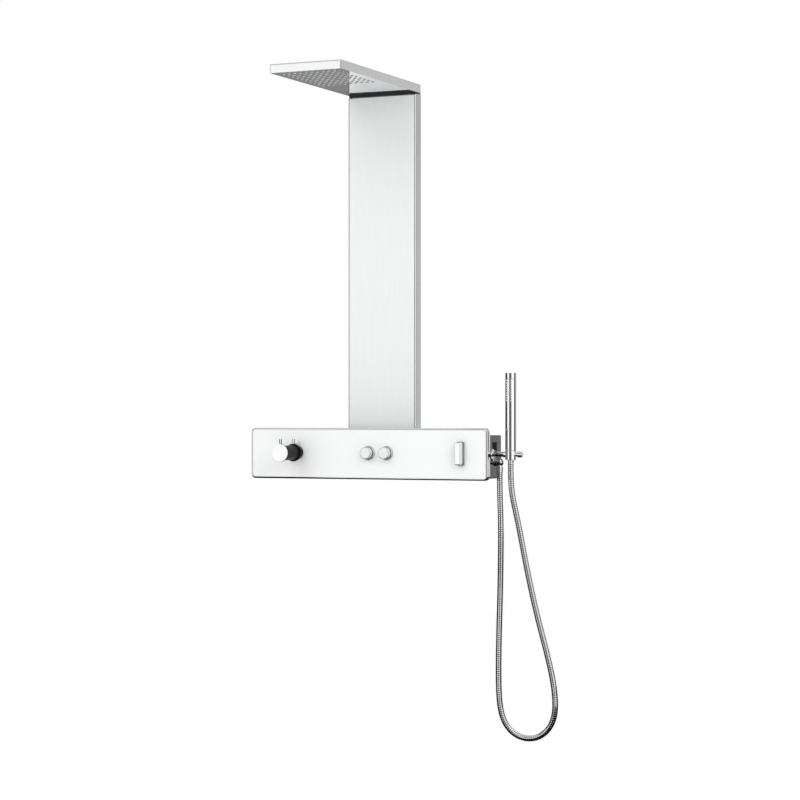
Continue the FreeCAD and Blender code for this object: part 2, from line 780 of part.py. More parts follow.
def column_front_cover():
    """Front steel cover, folded back at its sides to the seam."""
    half = column_width / 2
    front = -column_depth + column_panel_t
    outer = block(-half, half, front, column_seam_y - seat_gap, housing_top, column_top_z)
    inner = block(-half + sheet, half - sheet, front + sheet, 0, housing_top - past, column_top_z - sheet)
    return outer.cut(inner).cut(riser_space)


def column_front_panel():
    """Satin steel panel on the cover, leaving a polished border."""
    half = column_width / 2 - column_border
    front = -column_depth
    return block(-half, half, front, front + column_panel_t,
                 housing_top + column_panel_lift, column_top_z - column_border)


def riser_pipe():
    """Copper pipe from the water block to the head."""
    return pipe(riser_r, riser_r - riser_wall, (0, riser_y, riser_bottom_z), (0, riser_y, riser_end_z))


def pipe_clips():
    """Plastic clips that hold the riser on the rear channel."""
    clips = []
    for z in clip_heights:
        body = block(-riser_r - clip_wall, riser_r + clip_wall, riser_y - clip_lap, -sheet, z, z + clip_width)
        seat = prism(4, riser_r + fit_gap, (0, riser_y, z - past), (0, riser_y, z + clip_width + past))
        clips.append(body.cut(seat))
    return Part.makeCompound(clips)


def column_head_seal():
    """Black rubber pad that makes the recessed neck between the column's top and the head."""
    half = column_width / 2 - neck_side_inset
    pad = block(-half, half, -column_depth + neck_front_inset, 0, column_top_z, head_bottom_z)
    return pad.cut(riser_space)


# ---------------------------------------------------------------- overhead head
def head_top_shell():
    """Folded steel lid of the head, open below."""
    half = column_width / 2
    outer = block(-half, half, -head_length, 0, head_bottom_z, head_top_z)
    inner = block(-half + sheet, half - sheet, -head_length + sheet, -sheet,
                  head_bottom_z - past, head_top_z - sheet)
    return outer.cut(inner)


def head_spray_plate():
    """Polished bottom plate of the head."""
    half = column_width / 2 - sheet - seat_gap
    plate = block(-half, half, -head_length + sheet + seat_gap, -sheet - seat_gap, head_bottom_z, plate_top_z)
    return plate.cut(riser_space)


def head_nozzles():
    """Rubber rain nozzles below the spray plate, in a regular grid."""
    base = head_nozzle_half
    tip = head_nozzle_tip_half
    nozzle = Part.makeWedge(-base, 0, -base, -tip, -tip, base, head_nozzle_drop, base, tip, tip)
    nozzle.rotate(Vector(0, 0, 0), RIGHT, -90)
    tips = []
    for column in range(nozzle_columns):
        for line in range(nozzle_lines):
            placed = nozzle.copy()
            placed.translate(Vector(-nozzle_half_x + nozzle_pitch_x * column,
                                    nozzle_first_y + nozzle_pitch_y * line, head_bottom_z))
            tips.append(placed)
    return Part.makeCompound(tips)


def head_water_chamber():
    """Flat hollow chamber over the nozzles."""
    half = nozzle_half_x + chamber_margin
    front = nozzle_first_y - chamber_margin
    outer = block(-half, half, front, chamber_back_y, plate_top_z, plate_top_z + chamber_height)
    inner = block(-half + chamber_wall, half - chamber_wall,
                  front + chamber_wall, chamber_back_y - chamber_wall,
                  plate_top_z + chamber_wall, plate_top_z + chamber_height - chamber_wall)
    inlet = feed_bar(feed_half - feed_wall, chamber_back_y - chamber_wall - past, chamber_back_y + past)
    return outer.cut(inner).cut(inlet)


def feed_bar(half, start_y, end_y):
    """A square bar on the feed's axis, inside the head."""
    z = plate_top_z + feed_height
    return prism(4, half, (0, start_y, z), (0, end_y, z))


def head_inlet_block():
    """Block on top of the riser that turns the water forward."""
    low = plate_top_z + seat_gap
    body = block(-inlet_block_half, inlet_block_half, inlet_block_front_y, riser_y + inlet_block_back,
                 low, low + inlet_block_height)
    body = body.cut(prism(4, riser_r + fit_gap, (0, riser_y, low - past),
                          (0, riser_y, riser_end_z + riser_end_gap)))
    return body.cut(feed_bar(feed_half - feed_wall, inlet_block_front_y - past, riser_y))


def head_feed_duct():
    """Square duct from the inlet block to the chamber."""
    duct = feed_bar(feed_half, chamber_back_y, inlet_block_front_y)
    return duct.cut(feed_bar(feed_half - feed_wall, chamber_back_y, inlet_block_front_y))


# ---------------------------------------------------------------- derived places
front_y = -console_depth
tray_back_y = front_y + trim_depth
housing_half = console_width / 2 - housing_inset
housing_top = console_height / 2 - housing_top_inset
housing_bottom = -console_height / 2 + housing_bottom_inset
panel_back_y = front_y + front_panel_t
riser_hole_half = riser_r + riser_clearance

barrel_left = mixer_x - barrel_left_reach
barrel_right = diverter_x + barrel_right_reach
nut_thread_y = -nut_face_gap - nut_thread_length
nut_relief_y = nut_thread_y - nut_relief_length
nut_front_y = nut_relief_y - nut_wall
tail_end_y = nut_thread_y - tail_gap
riser_bottom_z = control_z + riser_bottom
riser_socket_top = housing_top - sheet - socket_drop

cartridge_front_y = panel_back_y + cartridge_nose_gap
cartridge_back_y = cartridge_front_y + cartridge_depth
sleeve_bore_half = sleeve_half * math.sqrt(2) + running_gap
spindle_bore_half = spindle_half * math.sqrt(2) + running_gap
flow_back_y = front_y - handle_panel_gap
flow_front_y = flow_back_y - flow_length
temperature_back_y = flow_front_y - handle_gap
temperature_front_y = temperature_back_y - temperature_length
cap_front_y = front_y - button_cap_front
cap_back_y = cap_front_y + button_cap_length
cap_floor_y = cap_front_y + button_floor
lever_back_y = front_y - lever_back_gap
lever_step_y = lever_back_y - lever_back_t
lever_spindle_y = front_y - lever_front + lever_face_t

holder_x = housing_half + holder_reach
outlet_x = housing_half + outlet_reach
outlet_z = holder_z - outlet_drop
nut_top_z = outlet_z - outlet_barrel_r - hose_nut_stand_off
nut_bottom_z = nut_top_z - hose_nut_length
collar_space = rod(collar_r + fit_gap, (holder_x, holder_y, holder_z - collar_height),
                   (holder_x, holder_y, holder_z + collar_height))
cone_top_z = holder_z + collar_top
cone_bottom_z = cone_top_z - collar_height + cone_nut_rise
ferrule_bottom_z = cone_bottom_z - ferrule_length
handset_bottom_z = cone_top_z + seat_gap
handset_top_z = handset_bottom_z + handset_length
groove_z = handset_top_z - end_band

head_bottom_z = column_top_z + head_gap
head_top_z = head_bottom_z + head_thickness
riser_end_z = head_bottom_z + riser_rise
plate_top_z = head_bottom_z + spray_plate_t
riser_space = prism(4, riser_hole_half, (0, riser_y, column_top_z - sheet - past),
                    (0, riser_y, plate_top_z + past))
nozzle_half_x = nozzle_pitch_x * (nozzle_columns - 1) / 2
nozzle_last_y = nozzle_first_y + nozzle_pitch_y * (nozzle_lines - 1)
chamber_back_y = nozzle_last_y + chamber_margin
inlet_block_front_y = riser_y - inlet_block_half

# ---------------------------------------------------------------- write every piece
pieces = {
    "wall_plate": wall_plate(),
    "console_housing": console_housing(),
    "console_trim_frame": console_trim_frame(),
    "console_front_panel": console_front_panel(),
    "valve_body": valve_body(),
    "inlet_nuts": inlet_nuts(),
    "side_outlet_block": side_outlet_block(),
    "thermostatic_cartridge": thermostatic_cartridge(),
    "temperature_handle": temperature_handle(),
    "temperature_face_plate": temperature_face_plate(),
    "temperature_pin": grip_pin(temperature_front_y, temperature_hub_r),
    "temperature_spindle": temperature_spindle(),
    "flow_handle": flow_handle(),
    "flow_pin": grip_pin(flow_front_y, flow_hub_r),
    "flow_sleeve": flow_sleeve(),
    "diverter_lever": diverter_lever(),
    "diverter_spindle": diverter_spindle(),
    "holder_rosette": holder_rosette(),
    "holder_arm": holder_arm(),
    "holder_collar": holder_collar(),
    "holder_end_cap": holder_end_cap(),
    "outlet_elbow": outlet_elbow(),
    "hose_outlet_nut": hose_outlet_nut(),
    "handset_body": handset_body(),
    "handset_end_cap": handset_end_cap(),
    "handset_nozzles": handset_nozzles(),
    "hose_cone_nut": hose_cone_nut(),
    "hose_top_ferrule": hose_top_ferrule(),
    "hose": hose(),
    "column_back_channel": column_back_channel(),
    "column_front_cover": column_front_cover(),
    "column_front_panel": column_front_panel(),
    "riser_pipe": riser_pipe(),
    "pipe_clips": pipe_clips(),
    "column_head_seal": column_head_seal(),
    "head_top_shell": head_top_shell(),
    "head_spray_plate": head_spray_plate(),
    "head_nozzles": head_nozzles(),
    "head_water_chamber": head_water_chamber(),
    "head_inlet_block": head_inlet_block(),
    "head_feed_duct": head_feed_duct(),
}
for side, x in zip(("left", "right"), button_x):
    pieces["button_cap_" + side] = button_cap(x)
    pieces["button_spring_" + side] = button_spring(x)

for name, shape in pieces.items():
    save(name, shape)
print(len(pieces), "pieces")
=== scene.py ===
"""Looks of a shower panel column: a wall console, a flat column, a rain head and a stick handset on a hose.

Metres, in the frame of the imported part: X to the right, Y towards the wall, Z up. The front faces -Y.
"""
import bmesh
import bpy
import math
from mathutils import Matrix, Vector


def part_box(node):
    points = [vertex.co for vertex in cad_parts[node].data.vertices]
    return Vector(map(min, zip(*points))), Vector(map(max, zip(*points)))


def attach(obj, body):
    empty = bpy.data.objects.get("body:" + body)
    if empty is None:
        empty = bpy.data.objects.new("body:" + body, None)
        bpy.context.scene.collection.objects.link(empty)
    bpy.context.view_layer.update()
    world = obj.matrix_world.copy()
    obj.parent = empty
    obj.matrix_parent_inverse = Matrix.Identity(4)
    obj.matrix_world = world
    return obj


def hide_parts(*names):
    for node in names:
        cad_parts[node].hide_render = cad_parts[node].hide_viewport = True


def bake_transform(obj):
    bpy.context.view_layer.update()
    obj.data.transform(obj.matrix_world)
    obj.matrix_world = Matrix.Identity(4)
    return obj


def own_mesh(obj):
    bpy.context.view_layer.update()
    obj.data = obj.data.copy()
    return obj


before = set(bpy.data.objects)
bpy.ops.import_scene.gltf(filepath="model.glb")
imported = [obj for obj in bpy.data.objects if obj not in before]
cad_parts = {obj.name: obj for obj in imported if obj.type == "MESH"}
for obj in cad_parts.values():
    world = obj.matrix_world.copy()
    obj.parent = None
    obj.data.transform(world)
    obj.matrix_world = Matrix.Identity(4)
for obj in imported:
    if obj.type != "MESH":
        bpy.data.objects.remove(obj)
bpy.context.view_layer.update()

# ---------------------------------------------------------------- camera
# A level camera, a little to the right of the object, at the height of the console.
camera = bpy.data.objects.new("camera", bpy.data.cameras.new("camera"))
camera.data.sensor_width = 36.0
camera.data.lens = 104.17
camera.data.shift_y = 0.0177
camera.location = (2.2688, -4.9300, 0.0912)
camera.rotation_euler = (math.radians(90), 0, math.radians(24.39))
bpy.context.scene.collection.objects.link(camera)
bpy.context.scene.camera = camera
bpy.context.scene.view_settings.view_transform = "Standard"

# ---------------------------------------------------------------- shower hose
# A double-lock metal hose: a strip of chromed steel rolled into ribs. It hangs in one loop from the outlet
# below the holder round to the handset. Its length and its 13.4 mm over the ribs come from the photograph.
hose_y = -0.056
hose_route = [
    (0.3073, -0.0401), (0.3073, -0.0851), (0.3105, -0.163), (0.309, -0.292), (0.305, -0.420), (0.304, -0.513),
    (0.307, -0.569), (0.3165, -0.604), (0.3375, -0.6295), (0.367, -0.6415), (0.399, -0.638), (0.425, -0.619),
    (0.4395, -0.590), (0.442, -0.555), (0.4365, -0.508), (0.421, -0.444), (0.3975, -0.362), (0.373, -0.258),
    (0.3535, -0.160), (0.3375, -0.093), (0.334, -0.056), (0.334, -0.0184),
]
rib_crest = 0.0067
rib_valley = 0.0058
rib_pitch = 0.0048
hose_sides = 24

hose_line = bpy.data.curves.new("hose_line", "CURVE")
hose_line.dimensions = "3D"
hose_line.resolution_u = 32
hose_spline = hose_line.splines.new("NURBS")
hose_spline.points.add(len(hose_route) - 1)
for point, (x, z) in zip(hose_spline.points, hose_route):
    point.co = (x, hose_y, z, 1.0)
hose_spline.order_u = 3
hose_spline.use_endpoint_u = True
hose_guide = bpy.data.objects.new("hose_guide", hose_line)
bpy.context.scene.collection.objects.link(hose_guide)
bpy.context.view_layer.update()
hose_path = [v.co.copy() for v in bpy.data.meshes.new_from_object(hose_guide).vertices]
hose_length = sum((b - a).length for a, b in zip(hose_path, hose_path[1:]))


def linked(tree, output, node, socket):
    """Joins an output to a named input and returns the node."""
    tree.links.new(output, node.inputs[socket])
    return node


def clouds(tree, size, stretch=(1, 1, 1), detail=3.0):
    """Noise on object coordinates, in patches of about the given size; a stretch below 1 draws them out."""
    place = tree.nodes.new("ShaderNodeTexCoord")
    scaling = linked(tree, place.outputs["Object"], tree.nodes.new("ShaderNodeMapping"), "Vector")
    scaling.inputs["Scale"].default_value = [s / size for s in stretch]
    noise = linked(tree, scaling.outputs["Vector"], tree.nodes.new("ShaderNodeTexNoise"), "Vector")
    noise.inputs["Scale"].default_value = 1.0
    noise.inputs["Detail"].default_value = detail
    return noise.outputs["Fac"]


def finish(name, colour, metallic, roughness):
    """A new material with a plain shader, which the functions below give its texture."""
    material = bpy.data.materials.new(name)
    material.use_nodes = True
    shader = material.node_tree.nodes["Principled BSDF"]
    shader.inputs["Base Color"].default_value = (*colour, 1.0)
    shader.inputs["Metallic"].default_value = metallic
    shader.inputs["Roughness"].default_value = roughness
    return material


def vary_roughness(material, low, high, size, stretch=(1, 1, 1)):
    """Lets the gloss drift between two values."""
    tree = material.node_tree
    spread = linked(tree, clouds(tree, size, stretch), tree.nodes.new("ShaderNodeMapRange"), "Value")
    spread.inputs["From Min"].default_value = 0.3
    spread.inputs["From Max"].default_value = 0.7
    spread.inputs["To Min"].default_value = low
    spread.inputs["To Max"].default_value = high
    tree.links.new(spread.outputs["Result"], tree.nodes["Principled BSDF"].inputs["Roughness"])


def vary_colour(material, dark, light, size, stretch=(1, 1, 1), detail=3.0):
    """Lets the colour drift between two colours."""
    tree = material.node_tree
    ramp = linked(tree, clouds(tree, size, stretch, detail), tree.nodes.new("ShaderNodeValToRGB"), "Fac")
    ramp.color_ramp.elements[0].position = 0.35
    ramp.color_ramp.elements[0].color = (*dark, 1.0)
    ramp.color_ramp.elements[1].position = 0.65
    ramp.color_ramp.elements[1].color = (*light, 1.0)
    tree.links.new(ramp.outputs["Color"], tree.nodes["Principled BSDF"].inputs["Base Color"])


def roughen(material, depth, size, stretch=(1, 1, 1), detail=3.0):
    """Adds a relief of the given depth."""
    tree = material.node_tree
    relief = linked(tree, clouds(tree, size, stretch, detail), tree.nodes.new("ShaderNodeBump"), "Height")
    relief.inputs["Distance"].default_value = depth
    relief.inputs["Strength"].default_value = 1.0
    tree.links.new(relief.outputs["Normal"], tree.nodes["Principled BSDF"].inputs["Normal"])


hose_colour = (0.92, 0.92, 0.93)
# The grooves between the ribs are coloured near black: painted shade in the grooves.
groove_shade_colour = (0.04, 0.04, 0.042)
hose_steel = finish("hose_steel", hose_colour, 1.0, 0.08)
vary_roughness(hose_steel, 0.05, 0.12, 0.02)
tree = hose_steel.node_tree
groove_shade_mask = tree.nodes.new("ShaderNodeAttribute")
groove_shade_mask.attribute_name = "groove_shade"
shade = linked(tree, groove_shade_mask.outputs["Fac"], tree.nodes.new("ShaderNodeMix"), "Factor")
shade.data_type = "RGBA"
shade.inputs["A"].default_value = (*hose_colour, 1.0)
shade.inputs["B"].default_value = (*groove_shade_colour, 1.0)
tree.links.new(shade.outputs["Result"], tree.nodes["Principled BSDF"].inputs["Base Color"])


sharp_angle = math.radians(36)


def piece_from(name, mesh, material, body, slot, *nodes):
    """Makes a piece from a mesh, smooth but for sharp edges; it rides on its body and replaces the nodes."""
    for polygon in mesh.polygons:
        polygon.use_smooth = True
    mesh.set_sharp_from_angle(angle=sharp_angle)
    mesh.materials.clear()
    mesh.materials.append(material)
    piece = bpy.data.objects.new(name, mesh)
    bpy.context.scene.collection.objects.link(piece)
    if body:
        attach(piece, body)
    if nodes:
        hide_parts(*nodes)
    return piece


def spin_profile(bm, profile, centre, axis, steps=96, closed=False):
    """Turns corners, given as radius and distance along the axis, about it; a ring has a closed profile."""
    axis = Vector(axis)
    side = Vector((1, 0, 0)) if abs(axis.z) > 0.5 else Vector((0, 0, 1))
    corners = [bm.verts.new(Vector(centre) + side * r + axis * d) for r, d in profile]
    edges = [bm.edges.new(pair) for pair in zip(corners, corners[1:])]
    if closed:
        edges.append(bm.edges.new((corners[-1], corners[0])))
    bmesh.ops.spin(bm, geom=corners + edges, cent=centre, axis=axis, angle=2 * math.pi, steps=steps,
                   use_merge=True)
    bmesh.ops.remove_doubles(bm, verts=bm.verts, dist=1e-6)
    bmesh.ops.recalc_face_normals(bm, faces=bm.faces)


rib_count = round(hose_length / rib_pitch)
# One rib from seam to seam, as shares of its pitch and of its height: a narrow seam, then a flat crest.
rib_shape = [(0.0, 0.0), (0.1, 0.0), (0.14, 0.82), (0.2, 1.0),
             (0.26, 1.0), (0.84, 1.0), (0.9, 1.0), (0.96, 0.82)]
# Below this share of the rib's height the colour is painted dark: painted shade in the grooves.
groove_shade_height = 0.5
hose_profile = [(0.0, 0.0)]
for rib in range(rib_count):
    for share, height in rib_shape:
        hose_profile.append((rib_valley + height * (rib_crest - rib_valley),
                             (rib + share) * hose_length / rib_count))
hose_profile += [(rib_valley, hose_length), (0.0, hose_length)]
bm = bmesh.new()
spin_profile(bm, hose_profile, (0, 0, 0), (1, 0, 0), steps=hose_sides)
straight_hose = bpy.data.meshes.new("straight_hose")
bm.to_mesh(straight_hose)
bm.free()
# The low parts of each rib are marked for the near black colour: painted shade in the grooves.
groove_shade = straight_hose.attributes.new("groove_shade", "FLOAT", "POINT")
for vertex, value in zip(straight_hose.vertices, groove_shade.data):
    height = (vertex.co.yz.length - rib_valley) / (rib_crest - rib_valley)
    value.value = 1.0 if height < groove_shade_height else 0.0
straight = bpy.data.objects.new("straight_hose", straight_hose)
bpy.context.scene.collection.objects.link(straight)
follow = straight.modifiers.new("follow", "CURVE")
follow.object = hose_guide
follow.deform_axis = "POS_X"
bpy.context.view_layer.update()
hose_mesh = bpy.data.meshes.new_from_object(straight.evaluated_get(bpy.context.evaluated_depsgraph_get()))
bpy.data.objects.remove(straight)
bpy.data.objects.remove(hose_guide)
shower_hose = piece_from("shower_hose", hose_mesh, hose_steel, None, "chrome", "hose")

# ---------------------------------------------------------------- chromed brass fittings of the hose
# The nut that holds the hose on the outlet, and the crimped ferrule and the conical nut at its upper end.
# All are turned from brass bar, polished and chromed. The conical nut screws on the handset.
chrome = finish("polished_chrome", (0.98, 0.98, 0.985), 1.0, 0.05)
vary_roughness(chrome, 0.03, 0.07, 0.03)
roughen(chrome, 0.00001, 0.012)


def round_edges(bm, width, segments=3, above=40):
    """Rounds the edges that turn by more than the given angle in degrees."""
    sharp = [edge for edge in bm.edges if edge.calc_face_angle(0) > math.radians(above)]
    bmesh.ops.bevel(bm, geom=sharp, offset=width, offset_type="OFFSET", affect="EDGES", segments=segments,
                    profile=0.5, material=-1, clamp_overlap=True)


def finished(name, bm, material, body, slot, *nodes):
    """Ends a bmesh as a piece whose flat faces shade flat."""
    bmesh.ops.remove_doubles(bm, verts=bm.verts, dist=1e-7)
    bmesh.ops.recalc_face_normals(bm, faces=bm.faces)
    mesh = bpy.data.meshes.new(name)
    bm.to_mesh(mesh)
    bm.free()
    piece = piece_from(name, mesh, material, body, slot, *nodes)
    piece.modifiers.new("flat_faces", "WEIGHTED_NORMAL").keep_sharp = True
    return piece


def turned(name, profile, centre, axis, edge, material, body, slot, *nodes, closed=False):
    """A turned piece with rounded edges."""
    bm = bmesh.new()
    spin_profile(bm, profile, centre, axis, closed=closed)
    round_edges(bm, edge)
    return finished(name, bm, material, body, slot, *nodes)


def middle(node):
    """The middle of a node's box."""
    low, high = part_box(node)
    return (low + high) / 2


def upright_axis(node):
    """A point at z 0 on the upright line through a node's middle."""
    return middle(node) * Vector((1, 1, 0))


def ring(inner, outer, start, end):
    """The closed profile of a plain ring."""
    return [(inner, start), (outer, start), (outer, end), (inner, end)]


nut_low, nut_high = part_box("hose_outlet_nut")
nut_r = (nut_high.x - nut_low.x) / 2
nut_bore = 0.0053
nut_groove = 0.0005
nut_groove_places = (0.3, 0.6)
nut_profile = ring(nut_bore, nut_r, nut_low.z, nut_high.z)
for share in nut_groove_places:
    z = nut_low.z + share * (nut_high.z - nut_low.z)
    at = len(nut_profile) - 2
    nut_profile[at:at] = [(nut_r, z - nut_groove), (nut_r - nut_groove, z - nut_groove),
                          (nut_r - nut_groove, z + nut_groove), (nut_r, z + nut_groove)]
nut_axis = upright_axis("hose_outlet_nut")
outlet_nut = turned("outlet_nut", nut_profile, nut_axis, (0, 0, 1), 0.0002, chrome, "panel", "chrome",
                    "hose_outlet_nut", closed=True)

ferrule_low, ferrule_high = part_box("hose_top_ferrule")
ferrule_r = (ferrule_high.x - ferrule_low.x) / 2
crimp = 0.0004
bead_slope = 0.0006
bead_low = ferrule_low.z + 0.002
bead_high = ferrule_low.z + 0.0051
ferrule_profile = [(0.0, ferrule_low.z), (ferrule_r - crimp, ferrule_low.z), (ferrule_r - crimp, bead_low),
                   (ferrule_r, bead_low + bead_slope), (ferrule_r, bead_high - bead_slope),
                   (ferrule_r - crimp, bead_high), (ferrule_r - crimp, ferrule_high.z), (0.0, ferrule_high.z)]
top_ferrule = turned("top_ferrule", ferrule_profile, upright_axis("hose_top_ferrule"), (0, 0, 1), 0.0002,
                     chrome, "hose_end", "chrome", "hose_top_ferrule")

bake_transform(shower_hose)

cone_low, cone_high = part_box("hose_cone_nut")
cone_foot_r = 0.0083
cone_top_r = 0.0091
spigot_bore = 0.00605
cone_profile = [(spigot_bore, cone_low.z), (cone_foot_r, cone_low.z), (cone_top_r, cone_high.z),
                (spigot_bore, cone_high.z)]
bm = bmesh.new()
spin_profile(bm, cone_profile, upright_axis("hose_cone_nut"), (0, 0, 1), steps=64, closed=True)
round_edges(bm, 0.0003)
finished("cone_nut", bm, chrome, "handset", "chrome", "hose_cone_nut")

# ---------------------------------------------------------------- stick handset
# A chromed brass tube with a flat end cap set off by a fine groove. Pale rubber nozzles stand in three
# upright columns on its front, just below the groove. A spigot at its foot screws into the conical nut.
body_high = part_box("handset_body")[1]
cap_low, cap_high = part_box("handset_end_cap")
stick_r = (cap_high.x - cap_low.x) / 2
stick_centre = upright_axis("handset_end_cap")
stick_foot = cone_high.z + 0.0003
spigot_r = 0.006
spigot_end = cone_low.z + 0.012
groove_r = stick_r - 0.0012
groove_top = body_high.z + 0.0005
plug_end = body_high.z - 0.004
turned("handset_stick", [(0.0, spigot_end), (spigot_r, spigot_end), (spigot_r, stick_foot),
                         (stick_r, stick_foot), (stick_r, body_high.z), (0.0, body_high.z)],
       stick_centre, (0, 0, 1), 0.0004, chrome, "handset", "chrome", "handset_body")
turned("handset_cap", [(0.0, plug_end), (groove_r, plug_end), (groove_r, groove_top), (stick_r, groove_top),
                       (stick_r, cap_high.z), (0.0, cap_high.z)],
       stick_centre, (0, 0, 1), 0.0005, chrome, "handset", "chrome", "handset_end_cap")

pale_rubber = finish("pale_rubber", (0.84, 0.84, 0.84), 0.0, 0.5)
vary_colour(pale_rubber, (0.8, 0.8, 0.8), (0.88, 0.88, 0.88), 0.004)
vary_roughness(pale_rubber, 0.42, 0.6, 0.003)


def add_turned(bm, profile, place, steps, closed=False):
    """Adds a small part turned about Z to a bmesh; place turns it and moves it to its seat."""
    part = bmesh.new()
    spin_profile(part, profile, (0, 0, 0), (0, 0, 1), steps=steps, closed=closed)
    bmesh.ops.transform(part, matrix=place, verts=part.verts)
    holder = bpy.data.meshes.new("part")
    part.to_mesh(holder)
    part.free()
    bm.from_mesh(holder)
    bpy.data.meshes.remove(holder)


def nozzle(bm, root_r, tip_r, height, place):
    """Adds one small tapered nozzle with a collar at its root and a hole in its tip."""
    collar = root_r * 1.25
    hole = tip_r * 0.5
    hole_end = height * 0.6
    add_turned(bm, [(collar, 0.0), (collar, height * 0.15), (root_r, height * 0.22), (tip_r, height * 0.92),
                    (tip_r * 0.85, height), (hole, height), (hole, hole_end), (0.0, hole_end)], place, 16)


stick_nozzle_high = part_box("handset_nozzles")[1]
stick_root = 0.0013
stick_tip = 0.0010
stick_rise = 0.0010
stick_rows = 9
stick_pitch = 0.0056
stick_angles = (-26.0, 0.0, 26.0)
stick_first_z = stick_nozzle_high.z - 0.0011
seat_sink = 0.0001
bm = bmesh.new()
for column, angle in enumerate(stick_angles):
    turn = math.radians(angle)
    out = Vector((math.sin(turn), -math.cos(turn), 0))
    facing = out.to_track_quat("Z", "Y").to_matrix().to_4x4()
    offset = (column % 2) / 2
    for row in range(stick_rows - column % 2):
        z = stick_first_z - stick_pitch * (row + offset)
        seat = stick_centre + out * (stick_r - seat_sink) + Vector((0, 0, z))
        nozzle(bm, stick_root, stick_tip, stick_rise, Matrix.Translation(seat) @ facing)
finished("handset_spray", bm, pale_rubber, "handset", "rubber", "handset_nozzles")

# ---------------------------------------------------------------- holder
# A round rose on the housing's side, an arm, the collar that the handset stands in, and an end cap beyond it
# on a thin neck. All are turned brass, polished and chromed; a stud behind the rose holds the arm.
rose_low, rose_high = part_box("holder_rosette")
rose_centre = middle("holder_rosette") * Vector((0, 1, 1))
rose_r = (rose_high.z - rose_low.z) / 2
rose_slope_depth = 0.0012
rose_slope_width = 0.0016
turned("rose", [(0.0, rose_low.x), (rose_r, rose_low.x), (rose_r, rose_high.x - rose_slope_depth),
                (rose_r - rose_slope_width, rose_high.x), (0.0, rose_high.x)],
       rose_centre, (1, 0, 0), 0.0003, chrome, "panel", "chrome", "holder_rosette")
collar_low, collar_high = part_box("holder_collar")
collar_r = (collar_high.x - collar_low.x) / 2
collar_bore = 0.0094
collar_centre = upright_axis("holder_collar")
turned("collar", ring(collar_bore, collar_r, collar_low.z, collar_high.z), collar_centre, (0, 0, 1), 0.0007,
       chrome, "panel", "chrome", "holder_collar", closed=True)
arm_low, arm_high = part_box("holder_arm")
arm_r = (arm_high.y - arm_low.y) / 2
arm_start = rose_high.x - 0.001
collar_sink = 0.0006
arm_end = collar_centre.x - math.sqrt(collar_r ** 2 - arm_r ** 2) + collar_sink
turned("arm", [(0.0, arm_start), (arm_r, arm_start), (arm_r, arm_end), (0.0, arm_end)],
       rose_centre, (1, 0, 0), 0.0002, chrome, "panel", "chrome", "holder_arm")
stub_low, stub_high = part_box("holder_end_cap")
stub_r = (stub_high.z - stub_low.z) / 2
stub_neck_r = 0.0045
stub_neck_start = collar_centre.x + collar_r - 0.0015
stub_start = stub_high.x - 0.0114
turned("end_cap", [(0.0, stub_neck_start), (stub_neck_r, stub_neck_start), (stub_neck_r, stub_start),
                   (stub_r, stub_start), (stub_r, stub_high.x), (0.0, stub_high.x)],
       rose_centre, (1, 0, 0), 0.0006, chrome, "panel", "chrome", "holder_end_cap")

# ---------------------------------------------------------------- outlet
# The hose hangs from a short round barrel on a thinner root, below the holder. It is turned brass, chromed,
# with a domed end, and sits in a brass block inside the housing. The hose's nut turns on the spigot below it.
outlet_low, outlet_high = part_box("outlet_elbow")
outlet_r = (outlet_high.y - outlet_low.y) / 2
outlet_axis = Vector((0, middle("outlet_elbow").y, outlet_high.z - outlet_r))
outlet_root_r = 0.005
housing_low, housing_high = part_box("console_housing")
barrel_start = housing_high.x + 0.005
nose = 0.005
nose_steps = 8
barrel_end = outlet_high.x
outlet_profile = [(0.0, housing_high.x), (outlet_root_r, housing_high.x), (outlet_root_r, barrel_start),
                  (outlet_r, barrel_start)]
for step in range(nose_steps):
    turn = step / nose_steps * math.pi / 2
    outlet_profile.append((outlet_r * math.cos(turn), barrel_end - nose * (1 - math.sin(turn))))
outlet_profile.append((0.0, barrel_end))
turned("outlet_barrel", outlet_profile, outlet_axis, (1, 0, 0), 0.0004, chrome, "panel", "chrome",
       "outlet_elbow")
outlet_spigot_r = 0.0052
turned("outlet_spigot", [(0.0, outlet_low.z), (outlet_spigot_r, outlet_low.z),
                         (outlet_spigot_r, outlet_axis.z), (0.0, outlet_axis.z)],
       nut_axis, (0, 0, 1), 0.0003, chrome, "panel", "chrome")

# ---------------------------------------------------------------- console
# A folded stainless tray with a polished rim holds a finely blasted panel, flush with it. Behind it stands
# the housing, a bent steel box that the wall plate carries.
polished_steel = finish("polished_steel", (0.93, 0.935, 0.94), 1.0, 0.09)
vary_roughness(polished_steel, 0.06, 0.11, 0.05)
roughen(polished_steel, 0.000006, 0.02)
satin_steel = finish("satin_steel", (0.975, 0.98, 0.985), 0.42, 0.38)
vary_colour(satin_steel, (0.93, 0.935, 0.94), (0.985, 0.99, 0.995), 0.0009, (1, 1, 0.012))
vary_roughness(satin_steel, 0.34, 0.42, 0.0009, (1, 1, 0.012))
roughen(satin_steel, 0.000004, 0.0006, (1, 1, 0.01))
blasted_steel = finish("blasted_steel", (0.96, 0.97, 0.965), 0.06, 0.45)
vary_colour(blasted_steel, (0.91, 0.92, 0.915), (0.955, 0.965, 0.96), 0.0012)
vary_roughness(blasted_steel, 0.4, 0.5, 0.001)
roughen(blasted_steel, 0.000006, 0.0007)
housing_steel = finish("housing_steel", (0.17, 0.17, 0.175), 1.0, 0.25)
vary_roughness(housing_steel, 0.2, 0.3, 0.03)
roughen(housing_steel, 0.000006, 0.015)


